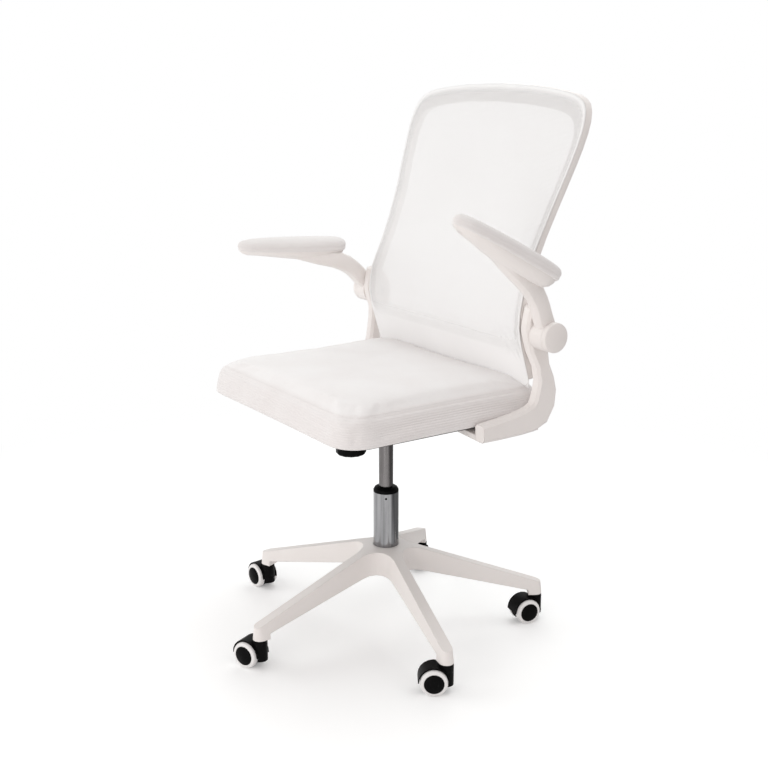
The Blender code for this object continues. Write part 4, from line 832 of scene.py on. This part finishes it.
# the net of the back, stretched over its hoop; bends are (share of the height, share of the lag),
# bandRings (share of the hoop's band, hem), windowRings shares of the way out from the middle
netSpec = dict(height=0.5235, lower=0.2425, waist=0.2340, shoulder=0.2590, crest=0.2330, lumbarLead=0.0305,
               topLag=0.1155, footLag=-0.003, footBends=((0, 1), (0.065, 0.62), (0.143, 0.18)),
               leanBends=((0.210, 0), (0.278, 0.038), (0.374, 0.157), (0.605, 0.49), (1, 1)), pathSteps=4,
               straightTo=0.35, skirt=0.012, skirtFrom=0.06, sideBand=0.018, endBand=0.034,
               footTo=0.03, cornerOut=0.05, cornerFrom=0.75, cornerOver=0.2,
               bow=0.010, bowWide=0.93, bowTall=0.45, bowPower=1.5, proud=0.0004, thick=0.0010,
               doubled=0.17, doubledFade=0.08, spare=0.02, bandRings=((0.12, 1.0), (0.45, 0.0), (1.0, 0.0)),
               windowRings=(0.94, 0.88, 0.81, 0.74, 0.66, 0.58, 0.5, 0.41, 0.32, 0.22, 0.11))
hemSpec = dict(radius=0.0011, inside=0.0014, step=0.006, sides=8)
# the hem's darker colour is a painted shadow line along the net's edge
hemPaintedShadowCloth = mouldedPlastic("netHem", tint(0.84, 0.82, 0.81), tint(0.70, 0.68, 0.67),
                          rough=0.75, edge=0.0004, grain=0.00008)
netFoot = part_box("back_mesh")[0].z
netMiddle = netFoot + netSpec["height"] / 2


def netShare(z):
    return (z - netFoot) / netSpec["height"]


def backDepth(z):
    s = netSpec
    bulge = armPivot.y - s["lumbarLead"]
    foot, lean = s["lumbarLead"] + s["footLag"], s["lumbarLead"] + s["topLag"]
    knots = [(up, bulge + share * foot) for up, share in s["footBends"]]
    knots += [(up, bulge + share * lean) for up, share in s["leanBends"]]
    return smoothValue(knots, netShare(z))


def backOutline():
    s = netSpec
    lower, waist, shoulder, crest = s["lower"], s["waist"], s["shoulder"], s["crest"]
    # half width, share of the height
    half = [(0, 0), (0.46 * lower, 0), (0.88 * lower, 0), (0.972 * lower, 0.006), (1.003 * lower, 0.040),
            (1.003 * lower, 0.245), (waist, 0.413), (0.7 * waist + 0.3 * shoulder, 0.587),
            (0.2 * waist + 0.8 * shoulder, 0.741), (shoulder, 0.8475),
            (0.75 * shoulder + 0.25 * crest, 0.917), (crest, 0.955), (0.81 * crest, 0.978),
            (0.43 * crest, 0.9945), (0, 1)]
    right = smoothPath([(x, 0, netFoot + share * s["height"]) for x, share in half], s["pathSteps"])
    for p in right:
        if netShare(p.z) < s["straightTo"]:
            p.x = min(p.x, lower)
        # the foot is tucked down behind the cushion
        p.z -= s["skirt"] * smoothStep(1 - netShare(p.z) / s["skirtFrom"])
    return right + [Vector((-p.x, 0, p.z)) for p in reversed(right[1:-1])]


def hoopBand(point):
    # the way from the outline to the inner edge of the hoop
    s = netSpec
    inward = (netMiddle - point.z) * 2 * s["endBand"] / s["height"]
    return Vector((-point.x * s["sideBand"] / s["lower"], 0, inward))


def squareFoot(point):
    # the loose edge at the foot runs out to the corners
    s = netSpec
    if netShare(point.z) > s["footTo"]:
        return point.copy()
    share = abs(point.x) / s["lower"]
    wide = min(1.0, share + s["cornerOut"] * smoothStep((share - s["cornerFrom"]) / s["cornerOver"]))
    return Vector((math.copysign(wide * s["lower"], point.x), 0, point.z))


def netPlace(point):
    # the net gives backwards most in the middle of its window
    s = netSpec
    across = point.x / (s["bowWide"] * s["waist"])
    up = (point.z - netMiddle) / (s["bowTall"] * s["height"])
    bow = s["bow"] * max(0, 1 - across * across - up * up) ** s["bowPower"]
    return (point.x, backDepth(point.z) + bow + s["proud"], point.z)


def makeNet():
    s = netSpec
    points = backOutline()
    bands = [hoopBand(p) for p in points]
    window = [p + b for p, b in zip(points, bands)]
    centre = Vector((0, 0, netMiddle))
    rings = [([squareFoot(p) for p in points], 1.0)]
    rings += [([p + b * share for p, b in zip(points, bands)], hemmed) for share, hemmed in s["bandRings"]]
    rings += [([centre + (p - centre) * share for p in window], 0.0) for share in s["windowRings"]]
    bm = bmesh.new()
    hem = bm.verts.layers.float.new("hem")
    rows = []
    for ring, hemmed in rings:
        row = []
        for p in ring:
            vert = bm.verts.new(netPlace(p))
            vert[hem] = max(hemmed, smoothStep((s["doubled"] - netShare(p.z)) / s["doubledFade"]))
            row.append(vert)
        rows.append(row)
    skinRows(bm, rows)
    pole, last = bm.verts.new(netPlace(centre)), rows[-1]
    for i in range(len(last)):
        bm.faces.new((last[i], last[(i + 1) % len(last)], pole))
    mesh = meshFrom(bm, "backNet")
    if mesh.polygons[0].normal.y > 0:
        mesh.flip_normals()
    piece = addPiece("backNet", mesh, openNet("backNet"))
    wall = piece.modifiers.new("thick", "SOLIDIFY")
    wall.thickness = s["thick"]
    wall.offset = -1.0
    bakeModifiers(piece)
    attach(piece, "seat")
    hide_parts("back_mesh")
    # rolled hem round the hoop, coloured darker than the net as a painted shadow line along the net's edge
    h = hemSpec
    rim = [Vector((p.x, backDepth(p.z) + h["radius"], p.z)) + b.normalized() * h["inside"]
           for p, b in zip(points, bands)]
    hemBead = beadAlong("netHem", evenLoop(rim, h["step"]), hemPaintedShadowCloth, h["radius"], h["sides"])
    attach(hemBead, "seat")
    return piece


net = makeNet()
print("net made:", len(net.data.polygons), "faces")


# the tilt spring

springSpec = dict(radius=0.0142, wire=0.0020, turns=5, perTurn=36, sides=10,
                  room=0.0032)  # room for the cup to wind up
springLow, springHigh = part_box("tension_spring")


def makeSpring():
    s = springSpec
    centreX, centreY = (springLow.x + springHigh.x) / 2, (springLow.y + springHigh.y) / 2
    low, high = springLow.z + s["wire"] + s["room"], springHigh.z - s["wire"]
    count = s["turns"] * s["perTurn"]
    loops = []
    for i in range(count + 1):
        a = 2 * math.pi * i / s["perTurn"]
        out = Vector((math.cos(a), math.sin(a), 0))
        centre = Vector((centreX, centreY, low + (high - low) * i / count)) + out * s["radius"]
        loop = []
        for j in range(s["sides"]):
            b = 2 * math.pi * j / s["sides"]
            loop.append(centre + out * (s["wire"] * math.cos(b)) + Vector((0, 0, s["wire"] * math.sin(b))))
        loops.append(loop)
    piece = addPiece("tiltSpring", loftMesh("tiltSpring", loops), finishes["plain_steel"])
    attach(piece, "lift")
    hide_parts("tension_spring")
    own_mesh(piece)


makeSpring()
print("spring made")


# stage, light and camera

# the second row sets a painted dark reflection: which side of the floor shows it to glossy rays, how dark, and
# where it fades in
stageSpec = dict(reach=14, floor=tint(0.90, 0.90, 0.90), rough=0.9, glow=0.22, fadeFrom=0.75, fadeTo=1.6,
                 paintedReflectionSide=(0.07, 1.0, 0.0), paintedReflection=0.27, paintedReflectionFrom=0.1, paintedReflectionTo=0.5,
                 fill=tint(1.0, 0.960, 0.950), world=0.62, plain=tint(1.0, 1.0, 1.0))


def makeFloor():
    # the floor keeps the chair's shadow near it and is plain white further out
    s = stageSpec
    r = s["reach"]
    mesh = bpy.data.meshes.new("floor")
    mesh.from_pydata([(-r, -r, 0), (r, -r, 0), (r, r, 0), (-r, r, 0)], [], [(0, 1, 2, 3)])
    shade = Shade("paleFloor", Base_Color=s["floor"], Roughness=s["rough"], Specular_IOR_Level=0.0)
    rays = shade.add("ShaderNodeLightPath", out="Is Camera Ray")
    mirrored = rays.other("Is Glossy Ray")
    seen = rays.most(mirrored).most(rays.other("Is Transmission Ray"))
    far = shade.add("ShaderNodeVectorMath", {"operation": "LENGTH"}, {0: shade.place}, out="Value")
    # how far each floor point lies towards the side with the painted dark reflection
    side = shade.add("ShaderNodeVectorMath", {"operation": "DOT_PRODUCT"},
                     {0: shade.place, 1: s["paintedReflectionSide"]}, out="Value")
    lit = Wire(shade, shade.surface.outputs[0])
    glow = shade.add("ShaderNodeEmission", sockets={"Strength": s["glow"]})
    white = shade.add("ShaderNodeEmission", sockets={"Strength": 1.0})
    # the painted dark reflection that glossy rays see
    paintedReflection = shade.add("ShaderNodeEmission", sockets={"Strength": s["paintedReflection"]})
    near = shade.add("ShaderNodeAddShader", sockets={0: lit, 1: glow})
    faded = far.between(s["fadeFrom"], s["fadeTo"])
    view = shade.add("ShaderNodeMixShader", sockets={0: faded, 1: near, 2: white})
    # polished tubes mirror a painted dark reflection on one side, painted into the floor in place of a dark flag
    paintedReflectionShare = mirrored * side.between(s["paintedReflectionFrom"], s["paintedReflectionTo"])
    view = shade.add("ShaderNodeMixShader", sockets={0: paintedReflectionShare, 1: view, 2: paintedReflection})
    shade.show(shade.add("ShaderNodeMixShader", sockets={0: seen, 1: lit, 2: view}), "Material Output")
    floor = addPiece("floor", mesh, shade.material)


def makeSky():
    # a soft even fill, plain white where the camera sees it
    s = stageSpec
    world = bpy.data.worlds.new("studio")
    bpy.context.scene.world = world
    world.use_nodes = True
    sky = Bench(world.node_tree)
    background = sky.tree.nodes["Background"]
    background.inputs["Color"].default_value = s["fill"]
    background.inputs["Strength"].default_value = s["world"]
    fill = Wire(sky, background.outputs[0])
    plain = sky.add("ShaderNodeBackground", sockets={"Color": s["plain"]})
    rays = sky.add("ShaderNodeLightPath", out="Is Camera Ray")
    seen = rays.most(rays.other("Is Transmission Ray"))
    sky.show(sky.add("ShaderNodeMixShader", sockets={0: seen, 1: fill, 2: plain}), "World Output")


def aim(holder, at, ahead):
    holder.location = at
    holder.rotation_mode = "QUATERNION"
    holder.rotation_quaternion = ahead.to_track_quat("-Z", "Y")


lampSpec = {
    "overhead": dict(at=(0.2, 0.9, 3.2), to=(0.0, 0.0, 0.5), size=2.2, power=24.0, tone=(0.93, 1.0, 1.0)),
    "rearLeft": dict(at=(-2.3, 1.7, 2.3), to=(0.0, 0.0, 0.3), size=2.4, power=22.0, tone=(0.93, 1.0, 1.0)),
    "left": dict(at=(-2.2, -2.1, 1.8), to=(0.0, 0.0, 0.4), size=2.6, power=28.0, tone=(0.95, 1.0, 1.0)),
    "front": dict(at=(1.1, -2.4, 0.9), to=(0.0, 0.0, 0.2), size=1.8, power=18.0, tone=(1.0, 0.98, 0.96)),
}


def makeLamps():
    for name, s in lampSpec.items():
        lamp = bpy.data.lights.new(name, "AREA")
        lamp.shape = "SQUARE"
        lamp.size = s["size"]
        lamp.energy = s["power"]
        lamp.color = s["tone"]
        aim(addPiece(name, lamp), s["at"], Vector(s["to"]) - Vector(s["at"]))


cameraSpec = dict(at=(1.8500, -1.2361, 1.0933), azimuth=55.778, elevation=14.888, lens=56.502, sensor=36.0,
                  farthest=100.0)


def makeCamera():
    s = cameraSpec
    camera = bpy.data.cameras.new("camera")
    camera.lens = s["lens"]
    camera.sensor_width = s["sensor"]
    camera.clip_end = s["farthest"]
    a, e = math.radians(s["azimuth"]), math.radians(s["elevation"])
    back = Vector((math.sin(a) * math.cos(e), -math.cos(a) * math.cos(e), math.sin(e)))
    holder = addPiece("camera", camera)
    aim(holder, s["at"], -back)
    bpy.context.scene.camera = holder


makeFloor()
makeSky()
makeLamps()
makeCamera()
bpy.context.scene.view_settings.view_transform = "Standard"
print("stage set")
